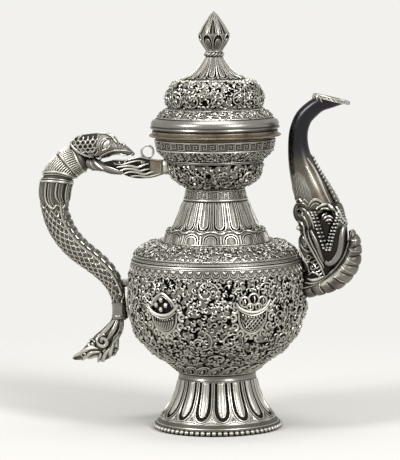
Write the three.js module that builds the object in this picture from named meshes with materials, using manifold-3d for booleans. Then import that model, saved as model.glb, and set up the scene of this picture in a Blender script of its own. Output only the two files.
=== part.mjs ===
// A silver teapot in the Himalayan manner: a pierced and chased belly on a petalled foot, a fluted neck under
// a cup-shaped mouth, a lift-off domed lid with a bud finial, a sea-monster spout and a dragon handle.
// Millimetres, +Z up. The pot stands on z = 0, the spout points along +X and the handle lies along -X.
import * as THREE from "three";
import { mergeVertices } from "three/addons/utils/BufferGeometryUtils.js";
import Module from "manifold-3d";

const wasm = await Module();
wasm.setup();

// Sheet thicknesses and clearances
const seam = 0.3; // soldered joint between two stacked pieces
const sheet = 1.2; // raised sheet of the plain shells
const skin = 0.9; // pierced outer skins
const linerGap = 0.5; // air between a pierced skin and the vessel behind it
const lidPlay = 0.5; // running clearance of the lid's bezel in the mouth, on the radius

// Facets round the axis
const broad = 32;
const medium = 24;
const small = 16;

// Foot
const footRimRadius = 51.2;
const footRimWidth = 5;
const footRimHeight = 3.6;
const footBorderWidth = 5; // plain border inside the rim, where the petals start
const footBorderHeight = 3.2;
const footWaistRadius = 30.2;
const footHeight = 32.4; // from the border to the waist
const footPetals = 16;
const footPetalDepth = 1.1;
const collarReach = 0.6; // the collar stands out from the waist
const collarHeight = 4.6;
const collarWall = 3;

// Belly and shoulder
const bellyRadius = 69.7;
const bellyBaseReach = 0.2; // and the belly from the collar
const bellyBowlHeight = 58; // from the collar to the widest part
const bellySideHeight = 31; // from the widest part to the shoulder ring
const vesselBowlDrop = 31; // the vessel's bowl ends this far below the widest part
const vesselTurnDrop = 17; // and the steep part of its side this far below it
const shoulderTuck = 4.1; // the shoulder ring lies this far inside the belly's widest line
const shoulderRingHeight = 2.1;
const shoulderRingWidth = 5;
const shoulderRise = 10.6;
const spoutHoleRadius = 5.6;

// Raised work on the belly and the shoulder, pushed out of the sheet
const sunk = 0.5; // how deep each swelling's foot lies in its sheet
const bowlPlaces = [-121, -59, 59, 121]; // degrees round the belly
const bowlDrop = 7; // the four bowls' middles lie this far below the widest part
const bowlHalfWidth = 11.6;
const bowlHalfHeight = 11.8;
const bowlRise = 3.2;
const heapRise = 3;
const wreathHalfWidth = 18.4; // the ring of curls about each bowl
const wreathHalfHeight = 16.4;
const wreathRise = 1.5;
const bowlClearWidth = 24; // the whorls keep clear of an oval about each bowl
const bowlClearHeight = 21;
const rootClear = 17; // and of the roots of spout and handle
const whorlPitch = 24;
const whorlRows = 4;
const whorlRadius = 8.5;
const whorlRise = 1.3;
const whorlBorder = 15; // plain distance at the belly's foot, where a row of lappets stands
const whorlTopBorder = 10;
const plateWhorlUp = 11.5; // distance up the shoulder plate
const plateWhorlRise = 0.9;

// Neck
const neckBaseRadius = 41.6;
const neckSkirtLean = 3.6;
const neckSkirtHeight = 9.8;
const neckLedge = 3.8; // how far the long petals stand in from the short ones
const neckFluteHeight = 22.6;
const neckFluteTopRadius = 25.9;
const neckPetals = 16;
const neckPetalDepth = 0.9;
const neckBandStep = 1.6; // the key-pattern band stands in from the flutes
const neckBandLean = 1.8;
const neckBandHeight = 9.8;
const neckOpeningRadius = 18.6;

// Cup-shaped mouth
const cupRadius = 37.3;
const cupHeight = 19.4;
const cupBeadHeight = 2.1;
const cupBeadReach = 1.1;
const taperHeight = 7.8;
const fretTopRadius = 47;
const fretLean = 1.5;
const fretHeight = 7.6;
const mouthLedge = 4; // how far the mouth ring reaches in past the band's edge
const mouthRingHeight = 7.3;
const mouthFlangeReach = 4.7;

// Lid
const bezelDepth = 9;
const bezelWall = 1;
const lidRimHeight = 8.8;
const lidRimSetback = 0.5; // the lid's rim stays inside the mouth's flange
const lidRollSetback = 1.3;
const skirtReach = 1.9; // the skirt starts outside the mouth's bore
const skirtStep = 1.5; // and ends outside the dome's foot
const skirtHeight = 6.8;
const domeRadius = 37.4;
const domeTuck = 1.1;
const domeHeight = 22.2;
const domeFlatRadius = 24;
const lidConeSetback = 1;
const lidConeTopRadius = 6.3;
const lidConeHeight = 17.8;
const lidPetals = 12;
const lidPetalDepth = 0.7;

// Finial
const rodRadius = 2;
const rodPlay = 0.35;
const rivetHeadRadius = 4;
const rivetHeadHeight = 2.4;
const washerRadius = 7;
const washerThickness = 1;
const ropeRadius = 8;
const ropeHeight = 3;
const budRadius = 11.8;
const budNeckRadius = 5.8;
const budCalyxHeight = 12.4;
const budTipHeight = 19.5;
const budSocketDepth = 9;
const budLobes = 8;
const budLobeDepth = 0.8;

// Spout
const hornWall = 1.1;
const throatWall = 1.2;
const lipThickness = 2.8;
const lipHalfLength = 14.4;
const lipHalfWidth = 7.6;
const lipBand = 2.5;
const lipTilt = -0.24; // rise over run of the slanted mouth
const crestHeight = 2.6;
const crestThickness = 2;
const crestTeeth = 14;
const scuteRings = 7;
const scuteDepth = 0.9;
const eyeRadius = 3.6;
const toothPitch = 2.9;
const toothRadius = 1.5;

// Handle
const scuteStripThickness = 2.2;
const scuteStripWidth = 8.5;
const handleCuffGrowth = 0.7;
const armThickness = 6.4;
const armFlangeThickness = 1.4;
const loopRadius = 4.7;
const loopWire = 0.75;
const bracketRadius = 3.2;
const mouthClearance = 22.7; // from the key-pattern band out to the line that spout and handle are set from

// Colours measured off the object: bright raised silver, darkened silver, smooth horn and the tinned liner
const chased = new THREE.MeshStandardMaterial({ color: 0xa8a69e, roughness: 0.38, metalness: 1 });
const smooth = new THREE.MeshStandardMaterial({ color: 0x8e8d8c, roughness: 0.22, metalness: 1 });
const tinned = new THREE.MeshStandardMaterial({ color: 0x4b4a48, roughness: 0.5, metalness: 1 });

// A geometry as a closed mesh of merged corners whose faces point out.
function closed(geometry) {
  const bare = new THREE.BufferGeometry();
  bare.setAttribute("position", geometry.getAttribute("position"));
  if (geometry.index) bare.setIndex(geometry.index);
  const merged = mergeVertices(bare, 1e-3);
  const corners = merged.getAttribute("position");
  const faces = Array.from(merged.index.array);
  const kept = [];
  for (let i = 0; i < faces.length; i += 3) {
    const [a, b, c] = faces.slice(i, i + 3);
    if (a !== b && b !== c && c !== a) kept.push(a, b, c);
  }
  const at = (n) => new THREE.Vector3().fromBufferAttribute(corners, n);
  let volume = 0;
  for (let i = 0; i < kept.length; i += 3) {
    volume += at(kept[i]).dot(at(kept[i + 1]).cross(at(kept[i + 2])));
  }
  if (volume < 0) {
    for (let i = 0; i < kept.length; i += 3) [kept[i + 1], kept[i + 2]] = [kept[i + 2], kept[i + 1]];
  }
  merged.setIndex(kept);
  return merged;
}

// A closed geometry as a solid that can be joined and cut.
function solid(geometry) {
  const mesh = closed(geometry);
  return new wasm.Manifold(new wasm.Mesh({
    numProp: 3,
    vertProperties: new Float32Array(mesh.getAttribute("position").array),
    triVerts: new Uint32Array(mesh.index.array),
  }));
}

// A solid back as a geometry: only its largest body, so a cut leaves no slivers.
function geometryOf(made) {
  const largest = made.decompose().sort((a, b) => b.volume() - a.volume())[0];
  const mesh = largest.getMesh();
  const geometry = new THREE.BufferGeometry();
  geometry.setAttribute("position", new THREE.BufferAttribute(mesh.vertProperties, 3));
  geometry.setIndex(new THREE.BufferAttribute(mesh.triVerts, 1));
  return geometry;
}

// A profile of [radius, height] points turned round the pot's axis.
function turned(profile, segments) {
  const loop = profile.map(([r, z]) => new THREE.Vector2(r, z));
  const onAxis = profile[0][0] === 0 && profile[profile.length - 1][0] === 0;
  if (!onAxis) loop.push(loop[0].clone());
  return closed(new THREE.LatheGeometry(loop, segments).rotateX(Math.PI / 2));
}

// A profile moved sideways by a distance, along the normals of an open line that climbs.
function offset(profile, distance) {
  return profile.map(([r, z], i) => {
    const [r0, z0] = profile[Math.max(i - 1, 0)];
    const [r1, z1] = profile[Math.min(i + 1, profile.length - 1)];
    const length = Math.hypot(r1 - r0, z1 - z0);
    return [r - ((z1 - z0) / length) * distance, z + ((r1 - r0) / length) * distance];
  });
}

// A raised shell: its outer line, and the same line a thickness further in, with level edges.
function shell(outer, thickness) {
  const inner = offset(outer, thickness).map(([r, z], i, all) => {
    if (i === 0) return [r, outer[0][1]];
    if (i === all.length - 1) return [r, outer[outer.length - 1][1]];
    return [r, z];
  });
  return [...outer, ...inner.reverse()];
}

// Points of a smooth curve through a few profile points.
function smoothed(points, count) {
  const curve = new THREE.CatmullRomCurve3(points.map(([r, z]) => new THREE.Vector3(r, z, 0)), false, "centripetal");
  return curve.getPoints(count).map((p) => [p.x, p.y]);
}

// Petals pressed into a turned shell between two heights, outside a radius: every other facet line steps in.
function petalled(geometry, count, depth, low, high, beyond = 0) {
  const corners = geometry.getAttribute("position");
  for (let i = 0; i < corners.count; i += 1) {
    const p = new THREE.Vector3().fromBufferAttribute(corners, i);
    const radius = Math.hypot(p.x, p.y);
    if (p.z < low || p.z > high || radius < beyond) continue;
    const angle = Math.atan2(p.y, p.x);
    const step = (depth * (1 - Math.cos(angle * count))) / 2;
    corners.setXY(i, (p.x * (radius - step)) / radius, (p.y * (radius - step)) / radius);
  }
  return geometry;
}

// A line through stations [x, z, half width in the picture plane, half width across it], with its sizes.
function spineOf(stations) {
  const points = stations.map(([x, z]) => new THREE.Vector3(x, 0, z));
  const sizes = stations.map(([, , a, b]) => new THREE.Vector3(a, b ?? a, 0));
  const line = new THREE.CatmullRomCurve3(points, false, "centripetal");
  const girth = new THREE.CatmullRomCurve3(sizes, false, "catmullrom", 0.3);
  return { line, girth };
}

// The place, sideways direction and half widths of a spine at a share of its length.
function stationAt(spine, t) {
  const place = spine.line.getPoint(t);
  const along = spine.line.getTangent(t);
  const side = new THREE.Vector3(along.z, 0, -along.x);
  const size = spine.girth.getPoint(t);
  return { place, side, a: size.x, b: size.y };
}

// A tapering tube or bar along a spine. grow widens it, reach lengthens it at both ends, wall hollows it and
// swell(t) varies its girth.
function tapered(spine, rings, sides, { from = 0, to = 1, grow = 0, reach = 0, wall = 0, swell = () => 0 } = {}) {
  const corners = [];
  const faces = [];
  const placeAt = (t) => {
    const onward = t === from ? -reach : t === to ? reach : 0;
    return spine.line.getPoint(t).addScaledVector(spine.line.getTangent(t), onward);
  };
  const ringOf = (t, inset) => {
    const { side, a, b } = stationAt(spine, t);
    const place = placeAt(t);
    const extra = grow - inset + swell(t);
    const start = corners.length / 3;
    for (let k = 0; k < sides; k += 1) {
      const turn = (k / sides) * Math.PI * 2;
      const p = place.clone().addScaledVector(side, (a + extra) * Math.cos(turn));
      corners.push(p.x, (b + extra) * Math.sin(turn), p.z);
    }
    return start;
  };
  const bridge = (first, second) => {
    for (let k = 0; k < sides; k += 1) {
      const n = (k + 1) % sides;
      faces.push(first + k, first + n, second + n, first + k, second + n, second + k);
    }
  };
  const cap = (ring, t) => {
    const place = placeAt(t);
    const middle = corners.length / 3;
    corners.push(place.x, 0, place.z);
    for (let k = 0; k < sides; k += 1) faces.push(middle, ring + ((k + 1) % sides), ring + k);
  };
  const steps = Array.from({ length: rings + 1 }, (_, i) => (i === rings ? to : from + ((to - from) * i) / rings));
  const outer = steps.map((t) => ringOf(t, 0));
  outer.slice(1).forEach((ring, i) => bridge(outer[i], ring));
  if (wall > 0) {
    const inner = steps.map((t) => ringOf(t, wall));
    inner.slice(1).forEach((ring, i) => bridge(ring, inner[i]));
    bridge(inner[0], outer[0]);
    bridge(outer[rings], inner[rings]);
  } else {
    cap(outer[0], steps[0]);
    const last = faces.length;
    cap(outer[rings], steps[rings]);
    for (let i = last; i < faces.length; i += 3) [faces[i + 1], faces[i + 2]] = [faces[i + 2], faces[i + 1]];
  }
  const geometry = new THREE.BufferGeometry();
  geometry.setAttribute("position", new THREE.Float32BufferAttribute(corners, 3));
  geometry.setIndex(faces);
  return closed(geometry);
}

// The same bar with the room it needs in its neighbours.
function roomFor(spine, rings, sides, options = {}) {
  return solid(tapered(spine, rings, sides, { ...options, grow: seam, reach: seam }));
}

// The room a plate needs: the plate moved by the seam every way in the picture plane and across it.
function room(made) {
  const ways = [];
  for (let k = 0; k < 8; k += 1) {
    const turn = (k * Math.PI) / 4;
    for (const across of [-0.8, 0.8]) ways.push([seam * Math.cos(turn), seam * across, seam * Math.sin(turn)]);
  }
  return wasm.Manifold.union(ways.map((way) => made.translate(way)));
}

// A place on a turned sheet: a distance up its line, an angle round the axis and a height off it.
function onSheet(line, up, angle, lift = 0) {
  let left = up;
  let i = 1;
  const lengthTo = (n) => Math.hypot(line[n][0] - line[n - 1][0], line[n][1] - line[n - 1][1]);
  while (i < line.length - 1 && left > lengthTo(i)) {
    left -= lengthTo(i);
    i += 1;
  }
  const [r0, z0] = line[i - 1];
  const run = line[i][0] - r0;
  const rise = line[i][1] - z0;
  const length = lengthTo(i);
  const radius = r0 + (run * left + rise * lift) / length;
  return new THREE.Vector3(radius * Math.cos(angle), radius * Math.sin(angle), z0 + (rise * left - run * lift) / length);
}

// A low swelling of a turned sheet inside an outline of [across, above] points about a place on it. crown is the
// share of the outline that its top keeps, and none leaves it a blunt point.
function swelling(line, up, angle, outline, rise, crown = 0) {
  const radius = onSheet(line, up, 0).x;
  const count = outline.length;
  const middle = [0, 1].map((n) => outline.reduce((sum, point) => sum + point[n], 0) / count);
  const spot = (point, share, lift) => {
    const [across, above] = point.map((far, n) => middle[n] + (far - middle[n]) * share);
    return onSheet(line, up + above, angle + across / radius, lift);
  };
  const corners = outline.map((point) => spot(point, 1, -sunk));
  corners.push(spot(middle, 1, -sunk), spot(middle, 1, rise));
  const top = crown > 0 ? corners.length : count + 1;
  if (crown > 0) outline.forEach((point) => corners.push(spot(point, crown, rise * 0.85)));
  const faces = [];
  for (let k = 0; k < count; k += 1) {
    const next = (k + 1) % count;
    faces.push(count, next, k);
    if (crown > 0) faces.push(k, next, top + next, k, top + next, top + k, top + k, top + next, count + 1);
    else faces.push(k, next, top);
  }
  const geometry = new THREE.BufferGeometry();
  geometry.setAttribute("position", new THREE.Float32BufferAttribute(corners.flatMap((p) => p.toArray()), 3));
  geometry.setIndex(faces);
  return solid(geometry);
}

// A regular outline for a swelling.
function rounded(radius, count) {
  const turns = Array.from({ length: count }, (_, k) => (k / count) * Math.PI * 2);
  return turns.map((turn) => [radius * Math.cos(turn), radius * Math.sin(turn)]);
}

// The distance up a turned sheet's line at which it reaches a height.
function distanceTo(line, height) {
  const steps = Array.from({ length: 600 }, (_, n) => n / 4);
  return steps.find((up) => onSheet(line, up, 0).z >= height);
}

// The solids of a row of whorls round a turned sheet, but for the ones that are left out.
function whorlRow(line, up, shift, rise, leftOut = () => false) {
  const count = Math.round((onSheet(line, up, 0).x * 2 * Math.PI) / whorlPitch);
  const angles = Array.from({ length: count }, (_, k) => ((k + shift) / count) * Math.PI * 2);
  return angles.filter((angle) => !leftOut(angle)).map((angle) =>
    swelling(line, up, angle, rounded(whorlRadius, 5), rise));
}

const pot = new THREE.Group();
const lid = new THREE.Group();
pot.add(lid);

function add(name, geometry, material, group = pot) {
  const mesh = new THREE.Mesh(geometry, material);
  mesh.name = name;
  group.add(mesh);
  return mesh;
}

// Radii, each worked out from the piece that carries it
const footBorderRadius = footRimRadius - footBorderWidth;
const collarRadius = footWaistRadius + collarReach;
const bellyBaseRadius = collarRadius + bellyBaseReach;
const shoulderRadius = bellyRadius - shoulderTuck;
const neckSkirtTopRadius = neckBaseRadius - neckSkirtLean;
const neckBandRadius = neckFluteTopRadius - neckBandStep;
const neckBandTopRadius = neckBandRadius - neckBandLean;
const cupBeadRadius = cupRadius + cupBeadReach;
const fretRadius = fretTopRadius - fretLean;
const mouthRadius = fretTopRadius - mouthLedge;
const mouthFlangeRadius = fretTopRadius + mouthFlangeReach;
const lidRimRadius = mouthFlangeRadius - lidRimSetback;
const lidRollRadius = lidRimRadius - lidRollSetback;
const skirtRadius = mouthRadius + skirtReach;
const domeFootRadius = domeRadius - domeTuck;
const skirtTopRadius = domeFootRadius + skirtStep;
const lidConeRadius = domeFlatRadius - lidConeSetback;

// Heights, each worked out from the piece below it
const footLow = footRimHeight + seam;
const petalLow = footLow + footBorderHeight;
const waist = petalLow + footHeight;
const collarLow = waist + seam;
const collarTop = collarLow + collarHeight;
const bellyLow = collarTop + seam;
const bellyWide = bellyLow + bellyBowlHeight;
const bellyTop = bellyWide + bellySideHeight;
const ringLow = bellyTop + seam;
const ringTop = ringLow + shoulderRingHeight;
const plateLow = ringTop + seam;
const plateTop = plateLow + shoulderRise;
const neckLow = plateTop + seam;
const ledge = neckLow + neckSkirtHeight;
const neckTop = ledge + neckFluteHeight;
const bandLow = neckTop + seam;
const bandTop = bandLow + neckBandHeight;
const cupLow = bandTop + seam;
const cupTop = cupLow + cupHeight;
const beadLow = cupTop + seam;
const beadTop = beadLow + cupBeadHeight;
const fretLow = beadTop + seam;
const fretTop = fretLow + taperHeight + fretHeight;
const mouthLow = fretTop + seam;
const mouthTop = mouthLow + mouthRingHeight;
const lidLow = mouthTop + seam;
const lidRimTop = lidLow + lidRimHeight;
const skirtLow = lidRimTop + seam;
const skirtTop = skirtLow + skirtHeight;
const domeLow = skirtTop + seam;
const domeTop = domeLow + domeHeight;
const coneLow = domeTop + seam;
const coneTop = coneLow + lidConeHeight;
const ropeLow = coneTop + seam;
const ropeTop = ropeLow + ropeHeight;
const budLow = ropeTop + seam;

// Foot: a heavy rim to stand on, a raised trumpet with a ring of petals, and a plain collar
add("foot_rim", turned([
  [footRimRadius - footRimWidth, 0],
  [footRimRadius - 1.6, 0],
  [footRimRadius - 0.4, footRimHeight * 0.22],
  [footRimRadius, footRimHeight * 0.5],
  [footRimRadius - 0.4, footRimHeight * 0.78],
  [footRimRadius - 1.6, footRimHeight],
  [footRimRadius - footRimWidth, footRimHeight],
], broad), chased);
const footLine = [
  [footRimRadius - 2.2, footLow],
  [footBorderRadius, petalLow],
  ...smoothed([
    [footBorderRadius - 0.6, petalLow + 0.8],
    [footWaistRadius + (footBorderRadius - footWaistRadius) * 0.38, petalLow + footHeight * 0.38],
    [footWaistRadius + 1.6, petalLow + footHeight * 0.72],
    [footWaistRadius, waist],
  ], 5),
];
add("foot_shell", petalled(turned(shell(footLine, sheet), footPetals * 2),
  footPetals, footPetalDepth, petalLow + 0.4, waist - 0.5), chased);
add("foot_collar", turned([
  [collarRadius - collarWall, collarLow],
  [collarRadius, collarLow],
  [collarRadius - 0.7, (collarLow + collarTop) / 2],
  [collarRadius, collarTop],
  [collarRadius - collarWall, collarTop],
], broad), smooth);

// Belly: the pierced jacket over the plain vessel that holds the tea
const bellyLine = [
  [bellyBaseRadius, bellyLow],
  ...smoothed([
    [bellyBaseRadius + (bellyRadius - bellyBaseRadius) * 0.16, bellyLow + bellyBowlHeight * 0.085],
    [bellyBaseRadius + (bellyRadius - bellyBaseRadius) * 0.64, bellyLow + bellyBowlHeight * 0.36],
    [bellyBaseRadius + (bellyRadius - bellyBaseRadius) * 0.95, bellyLow + bellyBowlHeight * 0.72],
    [bellyRadius, bellyWide],
    [bellyRadius - (bellyRadius - shoulderRadius) * 0.35, bellyWide + bellySideHeight * 0.6],
    [shoulderRadius + 0.5, bellyTop],
  ], 8),
];
const vesselLine = offset(bellyLine, skin + linerGap);
vesselLine[0] = [bellyBaseRadius - 4, bellyLow];
vesselLine[vesselLine.length - 1][1] = bellyTop;
const vesselInner = offset(vesselLine, sheet);
vesselInner[0] = [bellyBaseRadius - 4, bellyLow + sheet];
vesselInner[vesselInner.length - 1][1] = bellyTop;

// Places on the spout and the handle are measured from a line beside the belly's widest part that also clears the
// mouth, and those on the arm from the key-pattern band or the cup at the height of the bead.
const standoff = Math.max(bellyRadius, fretTopRadius + mouthClearance);
const spoutSide = [standoff, bellyWide];
const handleSide = [-standoff, bellyWide];
const bandSide = [-fretTopRadius, beadLow];
const cupSide = [-cupRadius, beadLow];
const placed = ([x0, z0], places) => places.map(([x, z, ...sizes]) => [x0 + x, z0 + z, ...sizes]);

// The spout's stations: from the belly up through the monster's throat, then the horn to its slanted mouth
const throat = spineOf(placed(spoutSide, [
  [-9.7, 7.5, 7.6, 7.6],
  [-3.2, 8.7, 7.6, 7.8],
  [4.3, 13.5, 8.2, 8.6],
  [11.3, 22.3, 9.8, 10.2],
  [15.5, 34.8, 11.8, 11.6],
  [15.9, 47.8, 13.4, 12.6],
  [13.5, 60.5, 14.5, 13.2],
]));
const horn = spineOf(placed(spoutSide, [
  [13.5, 60.5, 14.5, 13.2],
  [9.5, 72.7, 14.3, 12.8],
  [5.2, 83.4, 13.2, 11.8],
  [0.7, 95.2, 11.5, 10.6],
  [-2.6, 107, 9.7, 9.2],
  [-4.4, 118.8, 8.1, 7.9],
  [-4, 130.6, 7.3, 7.2],
  [-0.3, 140.9, 6.9, 6.8],
  [5.9, 147.5, 6.6, 6.6],
  [12.5, 152.1, 6.2, 6.6],
  [20.8, 154.9, 6.2, 6.7],
  [29.3, 157.6, 6, 6.6],
  [37.3, 160.1, 6, 6.4],
]));
const lipMiddle = placed(spoutSide, [[21.5, 154.4]])[0];
const spoutRoot = stationAt(throat, 0);
const holeLine = spineOf([
  [spoutRoot.place.x - 20, spoutRoot.place.z - 2, spoutHoleRadius],
  [spoutRoot.place.x + 20, spoutRoot.place.z + 3, spoutHoleRadius],
]);
const spoutHole = solid(tapered(holeLine, 1, 12));
const bowlUp = distanceTo(bellyLine, bellyWide - bowlDrop);
const bowlOutline = [[-1, 0.36], [-0.92, -0.26], [-0.56, -0.76], [0, -1], [0.56, -0.76], [0.92, -0.26], [1, 0.36], [0, 0.08]]
  .map(([x, y]) => [x * bowlHalfWidth, y * bowlHalfHeight]);
const heapOutline = [[-0.78, 0.45], [0, 0.12], [0.78, 0.45], [0.72, 0.92], [0.2, 1.32], [-0.4, 1.3], [-0.82, 0.9]]
  .map(([x, y]) => [x * bowlHalfWidth, y * bowlHalfHeight]);
const bowlAngles = bowlPlaces.map((degrees) => (degrees * Math.PI) / 180);
const rootUp = distanceTo(bellyLine, spoutRoot.place.z);
const keptClear = [
  ...bowlAngles.map((place) => [place, bowlUp, bowlClearWidth, bowlClearHeight]),
  [0, rootUp, rootClear, rootClear],
  [Math.PI, rootUp, rootClear, rootClear],
];
const leftPlain = (up) => (angle) => keptClear.some(([place, middle, width, height]) => {
  const turn = Math.atan2(Math.sin(angle - place), Math.cos(angle - place));
  return Math.hypot((turn * bellyRadius) / width, (up - middle) / height) < 1;
});
const bellyLength = distanceTo(bellyLine, bellyTop - 0.1);
const whorlStep = (bellyLength - whorlTopBorder - whorlBorder) / whorlRows;
const wreathOutline = rounded(1, 8).map(([x, y]) => [x * wreathHalfWidth, y * wreathHalfHeight]);
const raised = bowlAngles.flatMap((angle) => [
  swelling(bellyLine, bowlUp, angle, wreathOutline, wreathRise, 0.85),
  swelling(bellyLine, bowlUp, angle, bowlOutline, bowlRise, 0.72),
  swelling(bellyLine, bowlUp, angle, heapOutline, heapRise, 0.72),
]);
for (let row = 0; row < whorlRows; row += 1) {
  const up = whorlBorder + (row + 0.5) * whorlStep;
  raised.push(...whorlRow(bellyLine, up, 0.5 * (row % 2), whorlRise, leftPlain(up)));
}
const plainJacket = solid(turned(shell(bellyLine, skin), broad));
add("belly_jacket", geometryOf(wasm.Manifold.union([plainJacket, ...raised]).subtract(spoutHole)), chased);
const vessel = solid(turned([
  [0, bellyLow],
  ...vesselLine,
  ...vesselInner.slice().reverse(),
  [0, bellyLow + sheet],
], broad)).subtract(spoutHole);
const vesselBelow = (made, height) => made.trimByPlane([0, 0, -1], -height);
const vesselAbove = (height) => vessel.trimByPlane([0, 0, 1], height + seam);
const bowlTop = bellyWide - vesselBowlDrop;
const turnTop = bellyWide - vesselTurnDrop;
add("belly_liner", geometryOf(vesselBelow(vessel, bowlTop)), tinned);
add("belly_liner_turn", geometryOf(vesselBelow(vesselAbove(bowlTop), turnTop)), tinned);
add("belly_liner_side", geometryOf(vesselBelow(vesselAbove(turnTop), bellyWide)), tinned);
add("belly_liner_top", geometryOf(vesselAbove(bellyWide)), tinned);

// Shoulder: the double-lined ring and the chased plate up to the neck
add("shoulder_ring", turned([
  [shoulderRadius - shoulderRingWidth, ringLow],
  [shoulderRadius + 0.4, ringLow],
  [shoulderRadius + 1, (ringLow + ringTop) / 2],
  [shoulderRadius + 0.2, ringTop],
  [shoulderRadius - shoulderRingWidth, ringTop],
], broad), chased);
const plateLine = [
  [shoulderRadius - 0.4, plateLow],
  ...smoothed([
    [shoulderRadius - 2.6, plateLow + shoulderRise * 0.3],
    [shoulderRadius - 7, plateLow + shoulderRise * 0.64],
    [shoulderRadius - 14, plateLow + shoulderRise * 0.93],
    [neckBaseRadius - 2.4, plateTop],
  ], 4),
];
const plateWhorls = whorlRow(plateLine, plateWhorlUp, 0, plateWhorlRise);
const plainPlate = solid(turned(shell(plateLine, sheet), broad));
add("shoulder_plate", geometryOf(wasm.Manifold.union([plainPlate, ...plateWhorls])), chased);

// Neck: short petals under a ledge, long flutes above, and the key-pattern band
const neckLine = [
  [neckBaseRadius, neckLow],
  [(neckBaseRadius + neckSkirtTopRadius) / 2 + 0.4, neckLow + neckSkirtHeight * 0.45],
  [neckSkirtTopRadius, ledge - 0.7],
  [neckSkirtTopRadius - neckLedge, ledge],
  ...smoothed([
    [neckSkirtTopRadius - neckLedge - 0.6, ledge + 1.4],
    [neckFluteTopRadius + 4.2, ledge + neckFluteHeight * 0.42],
    [neckFluteTopRadius + 0.6, ledge + neckFluteHeight * 0.86],
    [neckBandRadius + 0.2, neckTop],
  ], 4),
];
add("neck_cone", petalled(turned(shell(neckLine, sheet), neckPetals * 2),
  neckPetals, neckPetalDepth, neckLow + 0.3, neckTop - 0.4), chased);
add("neck_band", turned([
  [neckBandRadius - sheet, bandLow],
  [neckBandRadius + 0.3, bandLow],
  [neckBandRadius, bandLow + 1.4],
  [neckBandTopRadius, bandTop],
  [neckOpeningRadius, bandTop],
  [neckOpeningRadius, bandTop - sheet],
  [neckBandTopRadius - sheet, bandTop - sheet],
], medium), chased);

// Cup: a pierced bowl, its bead and the key-pattern band, all over one plain liner, under the mouth ring
const cupLine = smoothed([
  [neckBandTopRadius - 0.5, cupLow],
  [cupRadius * 0.79, cupLow + cupHeight * 0.22],
  [cupRadius * 0.945, cupLow + cupHeight * 0.6],
  [cupRadius, cupTop],
], 5);
const fretLine = [
  [cupRadius + 0.2, fretLow],
  [(cupRadius + fretRadius) / 2 + 0.6, fretLow + taperHeight * 0.55],
  [fretRadius, fretLow + taperHeight],
  [fretTopRadius, fretTop],
];
const cupLinerLine = [...offset(cupLine, skin + linerGap), ...offset(fretLine, skin + linerGap)];
cupLinerLine[0] = [cupLine[0][0] - 2.4, cupLow];
cupLinerLine[cupLinerLine.length - 1][1] = fretTop;
add("cup_bowl", turned(shell(cupLine, skin), broad), chased);
add("cup_liner", turned(shell(cupLinerLine, sheet), broad), tinned);
add("cup_bead", turned([
  [cupRadius - 0.6, beadLow],
  [cupBeadRadius - 0.5, beadLow],
  [cupBeadRadius, (beadLow + beadTop) / 2],
  [cupBeadRadius - 0.5, beadTop],
  [cupRadius - 0.6, beadTop],
], broad), chased);
add("fret_band", turned(shell(fretLine, skin), broad), chased);
add("mouth_ring", turned([
  [mouthRadius, mouthLow],
  [fretTopRadius + 0.5, mouthLow],
  [fretTopRadius + 1.9, mouthLow + mouthRingHeight * 0.2],
  [fretTopRadius + 1.1, mouthLow + mouthRingHeight * 0.4],
  [fretTopRadius + 1, mouthLow + mouthRingHeight * 0.56],
  [mouthFlangeRadius, mouthLow + mouthRingHeight * 0.78],
  [mouthFlangeRadius - 0.4, mouthTop],
  [mouthRadius, mouthTop],
], broad), smooth);

// Lid: a bezel that drops into the mouth, a rolled rim, a skirt, a dome and a cone of petals
const bezelRadius = mouthRadius - lidPlay;
add("lid_bezel", turned([
  [bezelRadius - bezelWall, lidLow - bezelDepth],
  [bezelRadius, lidLow - bezelDepth],
  [bezelRadius, lidRimTop - 1],
  [bezelRadius - bezelWall, lidRimTop - 1],
], broad), smooth, lid);
add("lid_rim", turned([
  [bezelRadius + seam, lidLow],
  [lidRimRadius - 0.6, lidLow],
  [lidRimRadius, lidLow + 0.9],
  [lidRollRadius - 1, lidLow + lidRimHeight * 0.3],
  [lidRollRadius, lidLow + lidRimHeight * 0.55],
  [lidRollRadius - 0.9, lidLow + lidRimHeight * 0.82],
  [skirtRadius + 1.4, lidRimTop],
  [bezelRadius + seam, lidRimTop],
], broad), smooth, lid);
const skirtLine = [
  [skirtRadius, skirtLow],
  [skirtRadius - 0.3, skirtLow + skirtHeight * 0.17],
  [skirtRadius - (skirtRadius - skirtTopRadius) * 0.48, skirtLow + skirtHeight * 0.5],
  [skirtRadius - (skirtRadius - skirtTopRadius) * 0.87, skirtLow + skirtHeight * 0.88],
  [skirtTopRadius - 0.2, skirtTop],
];
add("lid_skirt", turned(shell(skirtLine, sheet), broad), chased, lid);
const domeLine = [
  ...smoothed([
    [domeFootRadius, domeLow],
    [domeRadius, domeLow + domeHeight * 0.3],
    [domeRadius - 1.4, domeLow + domeHeight * 0.62],
    [domeFlatRadius + 6, domeLow + domeHeight * 0.88],
    [domeFlatRadius, domeTop],
  ], 6),
  [rodRadius + rodPlay, domeTop],
];
const domeInner = offset(domeLine, sheet);
domeInner[0][1] = domeLow;
domeInner[domeInner.length - 2][1] = domeTop - sheet;
domeInner[domeInner.length - 1] = [rodRadius + rodPlay, domeTop - sheet];
add("lid_dome", turned([...domeLine, ...domeInner.reverse()], broad), chased, lid);
const coneLine = [
  [lidConeRadius, coneLow],
  [lidConeRadius - 0.7, coneLow + 1.4],
  [lidConeTopRadius + 10.4, coneLow + lidConeHeight * 0.25],
  [lidConeTopRadius + 5.2, coneLow + lidConeHeight * 0.5],
  [lidConeTopRadius + 1.8, coneLow + lidConeHeight * 0.78],
  [lidConeTopRadius, coneTop],
];
add("lid_cone", petalled(turned(shell(coneLine, sheet * 0.8), lidPetals * 2),
  lidPetals, lidPetalDepth, coneLow + 1, coneTop - 1), chased, lid);

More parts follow.
